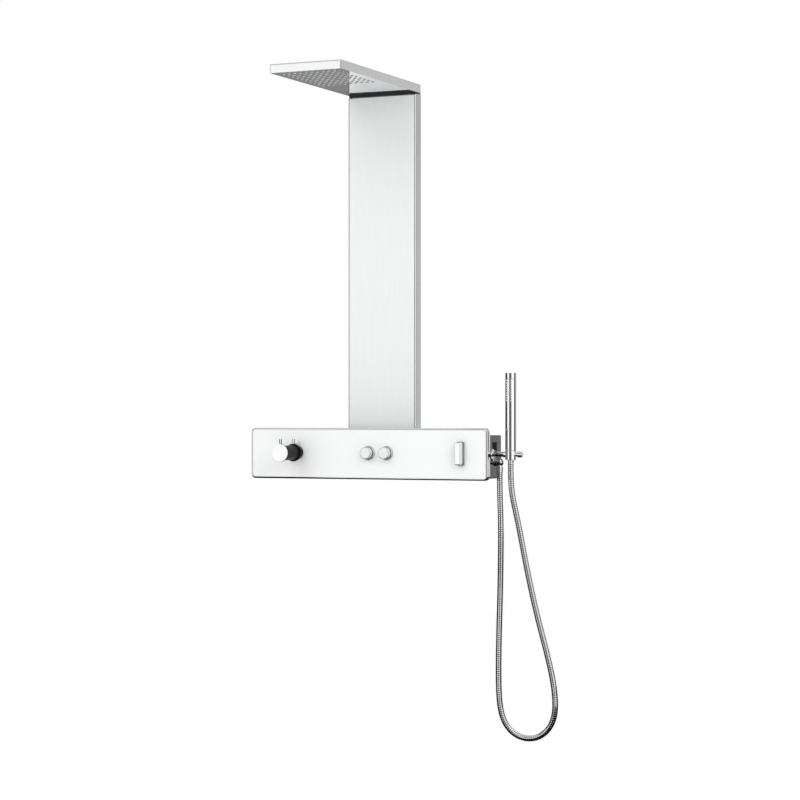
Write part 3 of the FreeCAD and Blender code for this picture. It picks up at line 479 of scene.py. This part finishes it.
def rounded_outline(bm, low, high, y, radius, segments=8):
    """Makes an upright face with round corners at one depth, facing the front."""
    places = [(low.x, low.z), (high.x, low.z), (high.x, high.z), (low.x, high.z)]
    corners = [bm.verts.new((x, y, z)) for x, z in places]
    bm.faces.new(corners)
    bmesh.ops.bevel(bm, geom=corners, offset=radius, offset_type="OFFSET", affect="VERTICES",
                    segments=segments, profile=0.5, material=-1)
    bm.faces.ensure_lookup_table()
    return bm.faces[0]


def pulled(bm, faces, shift, keep=False):
    """Extrudes faces by a shift and returns the moved ones; the first ones stay only where keep is set."""
    made = bmesh.ops.extrude_face_region(bm, geom=faces, use_keep_orig=True)["geom"]
    if not keep:
        bmesh.ops.delete(bm, geom=faces, context="FACES_ONLY")
    bmesh.ops.translate(bm, vec=shift, verts=[v for v in made if isinstance(v, bmesh.types.BMVert)])
    return [f for f in made if isinstance(f, bmesh.types.BMFace)]


rim_low, rim_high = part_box("console_trim_frame")
rim_width = 0.0046
rim_corner = 0.010
rim_fold = 0.0035
rim_ledge = 0.006
panel_t = 0.0016
tolerance = 0.0001
bm = bmesh.new()
tray = [rounded_outline(bm, rim_low, rim_high, rim_high.y, rim_corner)]
tray = pulled(bm, tray, (0, rim_low.y - rim_high.y, 0))
bmesh.ops.bevel(bm, geom=tray[0].edges[:], offset=rim_fold, offset_type="OFFSET", affect="EDGES", segments=5,
                profile=0.5, material=-1, clamp_overlap=True)
bm.normal_update()
fronts = [f for f in bm.faces if abs(f.normal.y) > 0.99 and f.calc_center_median().y < rim_low.y + tolerance]
tray = [max(fronts, key=lambda f: f.calc_area())]
bmesh.ops.inset_region(bm, faces=tray, thickness=rim_width - rim_fold, use_even_offset=True)
tray = pulled(bm, tray, (0, panel_t, 0))
bmesh.ops.inset_region(bm, faces=tray, thickness=rim_ledge, use_even_offset=True)
tray = pulled(bm, tray, (0, rim_high.y - rim_low.y - panel_t, 0))
bmesh.ops.delete(bm, geom=tray, context="FACES")
open_edges = [edge for edge in bm.edges if edge.is_boundary]
bmesh.ops.bridge_loops(bm, edges=open_edges)
round_edges(bm, 0.0005)
finished("console_rim", bm, polished_steel, "panel", "polished_steel", "console_trim_frame")


def circle_loop(bm, centre, radius, segments=96):
    """Adds an upright circle of edges."""
    bmesh.ops.create_circle(bm, cap_ends=False, radius=radius, segments=segments,
                            matrix=Matrix.Translation(centre) @ Matrix.Rotation(math.pi / 2, 4, "X"))


face_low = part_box("console_front_panel")[0]
control_z = middle("button_cap_left").z
face_front = rim_low.y
face_margin = rim_width + 0.0003
face_corner_low = Vector((rim_low.x + face_margin, 0, rim_low.z + face_margin))
face_corner_high = Vector((rim_high.x - face_margin, 0, rim_high.z - face_margin))
button_low, button_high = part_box("button_cap_left")
button_r = (button_high.x - button_low.x) / 2
button_hole = button_r + 0.0007
button_places = {side: middle("button_cap_" + side).x for side in ("left", "right")}
guide_r = 0.0155
guide_gap = 0.0008
guide_flange = 0.0015
guide_flange_t = 0.001
mixer_x = middle("temperature_handle").x
mixer_hole_r = 0.009
diverter_x = middle("diverter_lever").x
diverter_hole_r = 0.005
bm = bmesh.new()
outline = rounded_outline(bm, face_corner_low, face_corner_high, face_front, rim_corner - rim_width)
bmesh.ops.delete(bm, geom=[outline], context="FACES_ONLY")
for x, radius in ((button_places["left"], guide_r + guide_gap), (button_places["right"], guide_r + guide_gap),
                  (mixer_x, mixer_hole_r), (diverter_x, diverter_hole_r)):
    circle_loop(bm, (x, face_front, control_z), radius)
bmesh.ops.triangle_fill(bm, use_beauty=True, edges=bm.edges[:], normal=(0, -1, 0))
pulled(bm, bm.faces[:], (0, panel_t, 0), keep=True)
finished("console_face", bm, blasted_steel, "panel", "satin_steel", "console_front_panel")

# A chromed guide ring for each button, held by a flange behind the panel.
guide_step = face_front + panel_t
guide_back = guide_step + guide_flange_t
flange_r = guide_r + guide_flange
guide_profile = [(button_hole, face_low.y), (guide_r, face_low.y), (guide_r, guide_step),
                 (flange_r, guide_step), (flange_r, guide_back), (button_hole, guide_back)]
for side, x in button_places.items():
    turned("button_guide_" + side, guide_profile, (x, 0, control_z), (0, 1, 0), 0.0006, chrome, "panel",
           "satin_steel", closed=True)


def block(bm, low, high):
    """Adds a block between two corners."""
    size = high - low
    bmesh.ops.create_cube(bm, size=1.0,
                          matrix=Matrix.Translation((low + high) / 2) @ Matrix.Diagonal((*size, 1)))


def folded_box(name, low, high, open_sides, fold, material, body, slot, *nodes, sheet=0.0015):
    """A box bent from sheet: the named sides are open, the folds are round, and the sheet lies inside."""
    bm = bmesh.new()
    block(bm, low, high)
    missing = [f for f in bm.faces if any(f.normal.dot(Vector(side)) > 0.9 for side in open_sides)]
    bmesh.ops.delete(bm, geom=missing, context="FACES")
    folds = [edge for edge in bm.edges if not edge.is_boundary]
    bmesh.ops.bevel(bm, geom=folds, offset=fold, offset_type="OFFSET", affect="EDGES", segments=4,
                    profile=0.5, material=-1)
    mesh = bpy.data.meshes.new(name)
    bm.to_mesh(mesh)
    bm.free()
    piece = piece_from(name, mesh, material, body, slot, *nodes)
    wall = piece.modifiers.new("sheet", "SOLIDIFY")
    wall.thickness = sheet
    wall.offset = -1.0
    wall.use_even_offset = True
    lip = piece.modifiers.new("lip", "BEVEL")
    lip.width = sheet * 0.45
    lip.segments = 3
    lip.limit_method = "ANGLE"
    lip.angle_limit = math.radians(60)
    piece.modifiers.new("flat_faces", "WEIGHTED_NORMAL").keep_sharp = True
    return piece


folded_box("housing", housing_low, housing_high, [(0, -1, 0), (0, 1, 0)], 0.0018, housing_steel, "panel",
           "polished_steel", "console_housing")

# A thin black sheet lies on the housing's side, above the rose: painted shade over that part of the side.
dark_patch_low = Vector((housing_high.x - 0.0004, -0.052, 0.0078))
dark_patch_high = Vector((housing_high.x + 0.0006, -0.027, 0.0275))
bm = bmesh.new()
block(bm, dark_patch_low, dark_patch_high)
round_edges(bm, 0.0004)
# Its near black colour is painted shade.
dark_patch_black = finish("dark_patch_black", (0.008, 0.008, 0.009), 0.0, 0.5)
dark_patch_black.node_tree.nodes["Principled BSDF"].inputs["Specular IOR Level"].default_value = 0.1
vary_roughness(dark_patch_black, 0.45, 0.6, 0.002)
roughen(dark_patch_black, 0.00001, 0.0008)
finished("side_dark_patch", bm, dark_patch_black, "panel", "rubber")

# ---------------------------------------------------------------- push buttons
# Two hollow chromed brass buttons with slightly dished faces. Each slides in its guide ring on a square stem,
# against the spring behind it.
button_chrome = finish("button_chrome", (0.84, 0.845, 0.85), 1.0, 0.08)
vary_roughness(button_chrome, 0.06, 0.12, 0.006)
roughen(button_chrome, 0.000004, 0.004)
dish = 0.0004
dish_places = (0.0, 0.004, 0.008, 0.0108)
button_edge = 0.0016
edge_steps = 4
face_t = 0.003
skirt_length = 0.015
skirt_t = 0.0022
stem_half = 0.0038
stem_sink = 0.002


def button_profile(front):
    """A button's half section: the dished face, its round edge, the skirt and the hollow behind."""
    dish_r = button_r - button_edge
    corners = [(r, front + dish * (1 - (r / dish_r) ** 2)) for r in dish_places]
    for step in range(edge_steps + 1):
        turn = step / edge_steps * math.pi / 2
        corners.append((dish_r + button_edge * math.sin(turn), front + button_edge * (1 - math.cos(turn))))
    return corners + [(button_r, front + skirt_length), (button_r - skirt_t, front + skirt_length),
                      (button_r - skirt_t, front + face_t), (0.0, front + face_t)]


for side, x in button_places.items():
    low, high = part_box("button_cap_" + side)
    bm = bmesh.new()
    spin_profile(bm, button_profile(low.y), (x, 0, control_z), (0, 1, 0))
    finished("button_" + side, bm, button_chrome, "button_" + side, "chrome", "button_cap_" + side)
    bm = bmesh.new()
    block(bm, Vector((x - stem_half, low.y + stem_sink, control_z - stem_half)),
          Vector((x + stem_half, high.y, control_z + stem_half)))
    round_edges(bm, 0.0003)
    finished("button_stem_" + side, bm, chrome, "button_" + side, "chrome")

# ---------------------------------------------------------------- return springs
# A coil of round spring steel wire sits between the boss and the back of each button.
spring_steel = finish("spring_steel", (0.55, 0.55, 0.57), 1.0, 0.3)
vary_roughness(spring_steel, 0.22, 0.4, 0.002)
wire_r = 0.0005
coil_turns = 7
coil_steps = 32
for side, x in button_places.items():
    low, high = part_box("button_spring_" + side)
    coil_r = (high.x - low.x) / 2 - wire_r
    line = bpy.data.curves.new("coil", "CURVE")
    line.dimensions = "3D"
    line.bevel_depth = wire_r
    line.use_fill_caps = True
    coil = line.splines.new("POLY")
    coil.points.add(coil_turns * coil_steps)
    for step, point in enumerate(coil.points):
        turn = step / coil_steps * 2 * math.pi
        share = step / (coil_turns * coil_steps)
        y = high.y - wire_r + share * (low.y - high.y + 2 * wire_r)
        point.co = (x + coil_r * math.cos(turn), y, control_z + coil_r * math.sin(turn), 1.0)
    guide = bpy.data.objects.new("coil", line)
    bpy.context.scene.collection.objects.link(guide)
    bpy.context.view_layer.update()
    mesh = bpy.data.meshes.new_from_object(guide)
    bpy.data.objects.remove(guide)
    spring = piece_from("spring_" + side, mesh, spring_steel, "panel", "spring_steel",
                        "button_spring_" + side)
    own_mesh(spring)

# ---------------------------------------------------------------- mixer handles
# Two handles in line on one axis: the front one sets the temperature, the rear one the flow. Their barrels
# and discs are black, the front face is a polished chrome plate, and each has a chromed pin on top.
black_gloss = finish("black_gloss", (0.009, 0.009, 0.01), 0.0, 0.25)
black_gloss.node_tree.nodes["Principled BSDF"].inputs["Specular IOR Level"].default_value = 0.08
vary_roughness(black_gloss, 0.28, 0.4, 0.01)
roughen(black_gloss, 0.000004, 0.002)
mixer_axis = (mixer_x, 0, control_z)
front_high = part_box("temperature_handle")[1]
front_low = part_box("temperature_face_plate")[0]
rear_low, rear_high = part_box("flow_handle")
disc_r = (front_high.x - front_low.x) / 2
front_disc_t = 0.0045
rear_disc_t = 0.0035
front_hub_r = 0.017
rear_hub_r = 0.01575
rear_bore_r = 0.003
plate_t = 0.0012
plate_back = front_low.y + plate_t
front_disc_back = front_low.y + front_disc_t
rear_disc_back = rear_low.y + rear_disc_t
turned("temperature_barrel", [(0.0, plate_back), (disc_r, plate_back), (disc_r, front_disc_back),
                              (front_hub_r, front_disc_back), (front_hub_r, front_high.y),
                              (0.0, front_high.y)],
       mixer_axis, (0, 1, 0), 0.0002, black_gloss, "temperature", "black_coating", "temperature_handle")
# The plate is very slightly domed.
turned("temperature_plate", [(0.0, front_low.y), (disc_r * 0.6, front_low.y + 0.00002),
                             (disc_r, front_low.y + 0.0001), (disc_r, plate_back), (0.0, plate_back)],
       mixer_axis, (0, 1, 0), 0.0004, chrome, "temperature", "chrome", "temperature_face_plate")
turned("flow_barrel", [(rear_bore_r, rear_low.y), (disc_r, rear_low.y), (disc_r, rear_disc_back),
                       (rear_hub_r, rear_disc_back), (rear_hub_r, rear_high.y), (rear_bore_r, rear_high.y)],
       mixer_axis, (0, 1, 0), 0.0003, black_gloss, "flow", "black_coating", "flow_handle", closed=True)
pin_neck_r = 0.0021
pin_length = 0.0103
pin_seat = 0.001
for handle in ("temperature", "flow"):
    low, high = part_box(handle + "_pin")
    pin_r = (high.x - low.x) / 2
    pin_low = high.z - pin_length
    neck_low = low.z + pin_seat
    turned(handle + "_grip_pin", [(0.0, neck_low), (pin_neck_r, neck_low), (pin_neck_r, pin_low),
                                  (pin_r, pin_low), (pin_r, high.z), (0.0, high.z)],
           (mixer_x, (low.y + high.y) / 2, 0), (0, 0, 1), 0.0005, chrome, handle, "chrome", handle + "_pin")

# ---------------------------------------------------------------- diverter lever
# An upright bar with rounded edges, on a slightly larger back plate. It is cast brass, polished and chromed,
# and sits on a square spindle that goes through the panel to the diverter.
lever_low, lever_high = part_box("diverter_lever")
lever_margin = 0.0016
lever_step = lever_low.y + 0.0142
lever_corner = 0.003
lever_edge = 0.002
bar_low = Vector((lever_low.x + lever_margin, 0, lever_low.z + lever_margin))
bar_high = Vector((lever_high.x - lever_margin, 0, lever_high.z - lever_margin))
bar_back = lever_step + 0.0005
plate_rear = lever_high.y - 0.0002
bm = bmesh.new()
bar = [rounded_outline(bm, bar_low, bar_high, bar_back, lever_corner)]
pulled(bm, bar, (0, lever_low.y - bar_back, 0), keep=True)
round_edges(bm, lever_edge, segments=4, above=50)
finished("lever_bar", bm, chrome, "diverter", "chrome", "diverter_lever")
bm = bmesh.new()
back = [rounded_outline(bm, lever_low, lever_high, plate_rear, lever_corner)]
pulled(bm, back, (0, lever_step - plate_rear, 0), keep=True)
round_edges(bm, 0.0006, above=50)
# The back plate's chrome is much darker than the bar's: painted shade on its side strips.
lever_back_shade_chrome = finish("lever_back_shade_chrome", (0.34, 0.34, 0.345), 1.0, 0.12)
vary_roughness(lever_back_shade_chrome, 0.1, 0.16, 0.01)
roughen(lever_back_shade_chrome, 0.000006, 0.006)
finished("lever_back", bm, lever_back_shade_chrome, "diverter", "chrome")

# ---------------------------------------------------------------- column
# A flat column of two folded steel channels. The front one is polished and carries a satin panel inside a
# narrow bright border; a black rubber pad lifts the head off its top. The pad reaches nearly the column's
# full width, so its black also paints the shade in the gap under the head.
cover_low, cover_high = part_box("column_front_cover")
folded_box("column_cover", cover_low, cover_high, [(0, 1, 0), (0, 0, -1)], 0.004, polished_steel, "panel",
           "polished_steel", "column_front_cover")
black_rubber = finish("black_rubber", (0.03, 0.03, 0.032), 0.0, 0.6)
vary_roughness(black_rubber, 0.5, 0.7, 0.004)
roughen(black_rubber, 0.00002, 0.0006)
pad_low, pad_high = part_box("column_head_seal")
# The pad's wide footprint draws a black line along the column's top: painted shade of the gap.
pad_inset = 0.0015
pad_half = cover_high.x - pad_inset
bm = bmesh.new()
block(bm, Vector((-pad_half, cover_low.y + pad_inset, pad_low.z)), Vector((pad_half, 0, pad_high.z)))
round_edges(bm, 0.0004)
finished("neck_pad_and_gap_shade", bm, black_rubber, "panel", "rubber", "column_head_seal")
panel_low, panel_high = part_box("column_front_panel")
panel_corner = 0.0006
bm = bmesh.new()
strip = [rounded_outline(bm, panel_low, panel_high, panel_high.y, panel_corner, segments=3)]
pulled(bm, strip, (0, panel_low.y - panel_high.y, 0), keep=True)
round_edges(bm, 0.0009, above=50)
finished("column_panel", bm, satin_steel, "panel", "satin_steel", "column_front_panel")

# ---------------------------------------------------------------- rain head
# A folded steel lid over a mirror-polished spray plate. A hundred pale rubber nozzles stand in a square grid,
# each in a pressed ring that is coloured dark: painted shade round each nozzle.
shell_low, shell_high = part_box("head_top_shell")
folded_box("head_shell", shell_low, shell_high, [(0, 0, -1)], 0.0026, polished_steel, "panel",
           "polished_steel", "head_top_shell", sheet=0.0028)
mirror_steel = finish("mirror_steel", (0.94, 0.945, 0.95), 1.0, 0.03)
vary_roughness(mirror_steel, 0.02, 0.05, 0.04)
roughen(mirror_steel, 0.000004, 0.03)
# The rings' dark colour is painted shade round the nozzles.
seat_shade_steel = finish("seat_shade_steel", (0.3, 0.3, 0.305), 1.0, 0.15)
vary_roughness(seat_shade_steel, 0.12, 0.2, 0.004)
plate_low, plate_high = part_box("head_spray_plate")
bm = bmesh.new()
block(bm, plate_low, plate_high)
round_edges(bm, 0.0003)
finished("spray_plate", bm, mirror_steel, "panel", "polished_steel", "head_spray_plate")
rain_low, rain_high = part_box("head_nozzles")
rain_margin = 0.002
rain_columns = 10
rain_lines = 10
rain_first = Vector((rain_low.x + rain_margin, rain_low.y + rain_margin, plate_low.z))
rain_pitch_x = (rain_high.x - rain_low.x - 2 * rain_margin) / (rain_columns - 1)
rain_pitch_y = (rain_high.y - rain_low.y - 2 * rain_margin) / (rain_lines - 1)
rain_root = 0.0021
rain_tip = 0.0016
rain_height = 0.0025
seat_rise = 0.0005
seat_profile = [(0.0022, 0.0), (0.0034, 0.0), (0.0030, seat_rise), (0.0024, seat_rise)]
rain = bmesh.new()
seats = bmesh.new()
for column in range(rain_columns):
    for line in range(rain_lines):
        seat = rain_first + Vector((column * rain_pitch_x, line * rain_pitch_y, 0))
        downwards = Matrix.Translation(seat) @ Matrix.Rotation(math.pi, 4, "X")
        nozzle(rain, rain_root, rain_tip, rain_height, downwards)
        add_turned(seats, seat_profile, downwards, 20, closed=True)
finished("rain_nozzles", rain, pale_rubber, "panel", "rubber", "head_nozzles")
finished("nozzle_seats_shaded", seats, seat_shade_steel, "panel", "polished_steel")

# ---------------------------------------------------------------- inner pieces
# What the housing and the column hide keeps the shape of the frame: cast and turned brass water ways, the
# zinc plated wall plate, the plastic clips and water chamber, and the rear channel of the column.
brass = finish("cast_brass", (0.76, 0.6, 0.33), 1.0, 0.42)
vary_colour(brass, (0.66, 0.5, 0.27), (0.83, 0.68, 0.4), 0.012)
vary_roughness(brass, 0.34, 0.55, 0.004)
roughen(brass, 0.00008, 0.0012, detail=5.0)
turned_brass = finish("turned_brass", (0.8, 0.64, 0.36), 1.0, 0.25)
vary_roughness(turned_brass, 0.18, 0.32, 0.0006, (1, 0.1, 1))
roughen(turned_brass, 0.000008, 0.0005, (1, 0.05, 1))
zinc = finish("zinc_plate", (0.62, 0.63, 0.65), 1.0, 0.4)
vary_colour(zinc, (0.52, 0.53, 0.56), (0.7, 0.71, 0.72), 0.009, detail=1.0)
vary_roughness(zinc, 0.3, 0.5, 0.006)
plastic = finish("clip_plastic", (0.82, 0.82, 0.8), 0.0, 0.45)
vary_colour(plastic, (0.78, 0.78, 0.76), (0.85, 0.85, 0.83), 0.01)
vary_roughness(plastic, 0.38, 0.52, 0.003)
roughen(plastic, 0.00001, 0.0008)
channel_steel = finish("channel_steel", (0.74, 0.745, 0.75), 1.0, 0.12)
vary_roughness(channel_steel, 0.1, 0.18, 0.04)
finish_of = {
    "wall_plate": zinc, "valve_body": brass, "inlet_nuts": turned_brass, "side_outlet_block": brass,
    "thermostatic_cartridge": turned_brass, "temperature_spindle": turned_brass, "flow_sleeve": turned_brass,
    "diverter_spindle": turned_brass, "riser_pipe": turned_brass, "pipe_clips": plastic,
    "column_back_channel": channel_steel, "head_water_chamber": plastic, "head_inlet_block": brass,
    "head_feed_duct": turned_brass,
}
for node, material in finish_of.items():
    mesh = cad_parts[node].data
    mesh.materials.clear()
    mesh.materials.append(material)

# ---------------------------------------------------------------- studio
# A white room with soft lamps and a pale floor. Grey and black cards outside the picture give the polished
# metal something to mirror; only reflections show them.
world = bpy.data.worlds.new("studio")
bpy.context.scene.world = world
world.use_nodes = True
tree = world.node_tree
soft = tree.nodes["Background"]
soft.inputs["Color"].default_value = (0.93, 0.935, 0.93, 1.0)
soft.inputs["Strength"].default_value = 0.83
white = tree.nodes.new("ShaderNodeBackground")
white.inputs["Color"].default_value = (1.0, 1.0, 1.0, 1.0)
white.inputs["Strength"].default_value = 1.0
seen = tree.nodes.new("ShaderNodeLightPath")


def shown_directly(tree, seen):
    """One where a ray comes from the camera, a reflection or through glass."""
    total = seen.outputs["Is Camera Ray"]
    for ray in ("Is Glossy Ray", "Is Transmission Ray"):
        larger = linked(tree, total, tree.nodes.new("ShaderNodeMath"), 0)
        larger.operation = "MAXIMUM"
        tree.links.new(seen.outputs[ray], larger.inputs[1])
        total = larger.outputs["Value"]
    return total


mixed = linked(tree, shown_directly(tree, seen), tree.nodes.new("ShaderNodeMixShader"), "Fac")
tree.links.new(soft.outputs["Background"], mixed.inputs[1])
tree.links.new(white.outputs["Background"], mixed.inputs[2])
tree.links.new(mixed.outputs["Shader"], tree.nodes["World Output"].inputs["Surface"])

floor_z = -1.05
floor_half = 15.0
pale = finish("pale_floor", (0.9, 0.9, 0.9), 0.0, 0.9)
vary_colour(pale, (0.88, 0.88, 0.88), (0.92, 0.92, 0.92), 0.6)
tree = pale.node_tree
glow = tree.nodes.new("ShaderNodeEmission")
glow.inputs["Strength"].default_value = 1.07
seen = tree.nodes.new("ShaderNodeLightPath")
share = linked(tree, shown_directly(tree, seen), tree.nodes.new("ShaderNodeMath"), 0)
share.operation = "MULTIPLY"
share.inputs[1].default_value = 0.8
mixed = linked(tree, share.outputs["Value"], tree.nodes.new("ShaderNodeMixShader"), "Fac")
tree.links.new(tree.nodes["Principled BSDF"].outputs["BSDF"], mixed.inputs[1])
tree.links.new(glow.outputs["Emission"], mixed.inputs[2])
tree.links.new(mixed.outputs["Shader"], tree.nodes["Material Output"].inputs["Surface"])
bm = bmesh.new()
bmesh.ops.create_grid(bm, x_segments=1, y_segments=1, size=floor_half,
                      matrix=Matrix.Translation((0, 0, floor_z)))
mesh = bpy.data.meshes.new("floor")
bm.to_mesh(mesh)
bm.free()
mesh.materials.append(pale)
floor = bpy.data.objects.new("floor", mesh)
bpy.context.scene.collection.objects.link(floor)


def card_finish(name, tone, top_tone=None, low=0.0, high=1.0):
    """A card of one tone, or one that changes from tone to top_tone between two heights."""
    material = bpy.data.materials.new(name)
    material.use_nodes = True
    tree = material.node_tree
    tree.nodes.remove(tree.nodes["Principled BSDF"])
    glow = tree.nodes.new("ShaderNodeEmission")
    glow.inputs["Color"].default_value = (tone, tone, tone, 1.0)
    tree.links.new(glow.outputs["Emission"], tree.nodes["Material Output"].inputs["Surface"])
    if top_tone is not None:
        place = tree.nodes.new("ShaderNodeTexCoord")
        split = linked(tree, place.outputs["Object"], tree.nodes.new("ShaderNodeSeparateXYZ"), "Vector")
        fade = linked(tree, split.outputs["Z"], tree.nodes.new("ShaderNodeMapRange"), "Value")
        fade.interpolation_type = "SMOOTHSTEP"
        for socket, value in (("From Min", low), ("From Max", high), ("To Min", tone), ("To Max", top_tone)):
            fade.inputs[socket].default_value = value
        tree.links.new(fade.outputs["Result"], glow.inputs["Color"])
    return material


def card(name, bm, material):
    """Sets a card up so that only reflections show it."""
    mesh = bpy.data.meshes.new(name)
    bm.to_mesh(mesh)
    bm.free()
    mesh.materials.append(material)
    sheet = bpy.data.objects.new(name, mesh)
    bpy.context.scene.collection.objects.link(sheet)
    sheet.visible_camera = False
    sheet.visible_diffuse = False
    sheet.visible_shadow = False
    sheet.visible_transmission = False


def curved_card(name, start, end, low, high, material, radius=8.0, centre=(0, 0, 0)):
    """An upright card on an arc round the object; angles in degrees from the front, growing to the right."""
    bm = bmesh.new()
    turn = math.radians(start)
    first = Vector((math.sin(turn), -math.cos(turn), 0)) * radius + Vector(centre)
    edge = bm.edges.new([bm.verts.new(first + Vector((0, 0, z))) for z in (low, high)])
    bmesh.ops.spin(bm, geom=list(edge.verts) + [edge], cent=centre, axis=(0, 0, 1),
                   angle=math.radians(end - start), steps=24)
    card(name, bm, material)


def flat_card(name, centre, half, material):
    """A level card."""
    bm = bmesh.new()
    bmesh.ops.create_circle(bm, cap_ends=True, radius=half, segments=48, matrix=Matrix.Translation(centre))
    card(name, bm, material)


curved_card("left_card", -155.6, -54.6, -1.0, 6.0, card_finish("left_card", 0.03))
curved_card("camera_card", -11.6, 39, -1.0, 4.0, card_finish("camera_card", 0.12))
curved_card("right_card", 98, 141, -1.0, 6.0, card_finish("right_card", 0.03))
curved_card("side_card", 141, 180, -1.0, 6.0, card_finish("side_card", 0.62, 0.54, 0.8, 2.2))
curved_card("far_card", 180, 204.4, -1.0, 6.0, card_finish("far_card", 0.12))
curved_card("back_card", -176, -140, -0.9, -0.12, card_finish("back_card", 0.24), radius=7.0)
curved_card("high_card", -54.6, -11.6, 2.4, 8.0, card_finish("high_card", 0.2))
# Nearer dark cards round the hose's loop, which would otherwise mirror the bright floor.
loop_middle = (0.37, hose_y, 0)
for name, start, end, tone in (("loop_left_card", -155.6, -36, 0.01), ("loop_camera_card", 5, 30, 0.02),
                               ("loop_right_card", 76, 204.4, 0.02)):
    curved_card(name, start, end, -1.04, -0.3, card_finish(name, tone), radius=2.6, centre=loop_middle)
flat_card("low_card", (0, 0, -0.95), 3.0, card_finish("low_card", 0.01))
flat_card("top_card", (0, 0, 3.2), 2.4, card_finish("top_card", 0.6))


lamp_aim = Vector((0, -0.1, 0.2))


def lamp(name, place, size, power):
    """A soft square lamp that looks at the middle of the object."""
    data = bpy.data.lights.new(name, "AREA")
    data.size = size
    data.energy = power
    item = bpy.data.objects.new(name, data)
    item.location = place
    item.rotation_euler = (lamp_aim - Vector(place)).to_track_quat("-Z", "Y").to_euler()
    item.visible_glossy = False
    bpy.context.scene.collection.objects.link(item)


lamp("key_lamp", (-0.7, -3.4, 2.0), 2.4, 34)
lamp("fill_lamp", (2.4, -2.2, 1.4), 1.4, 20)
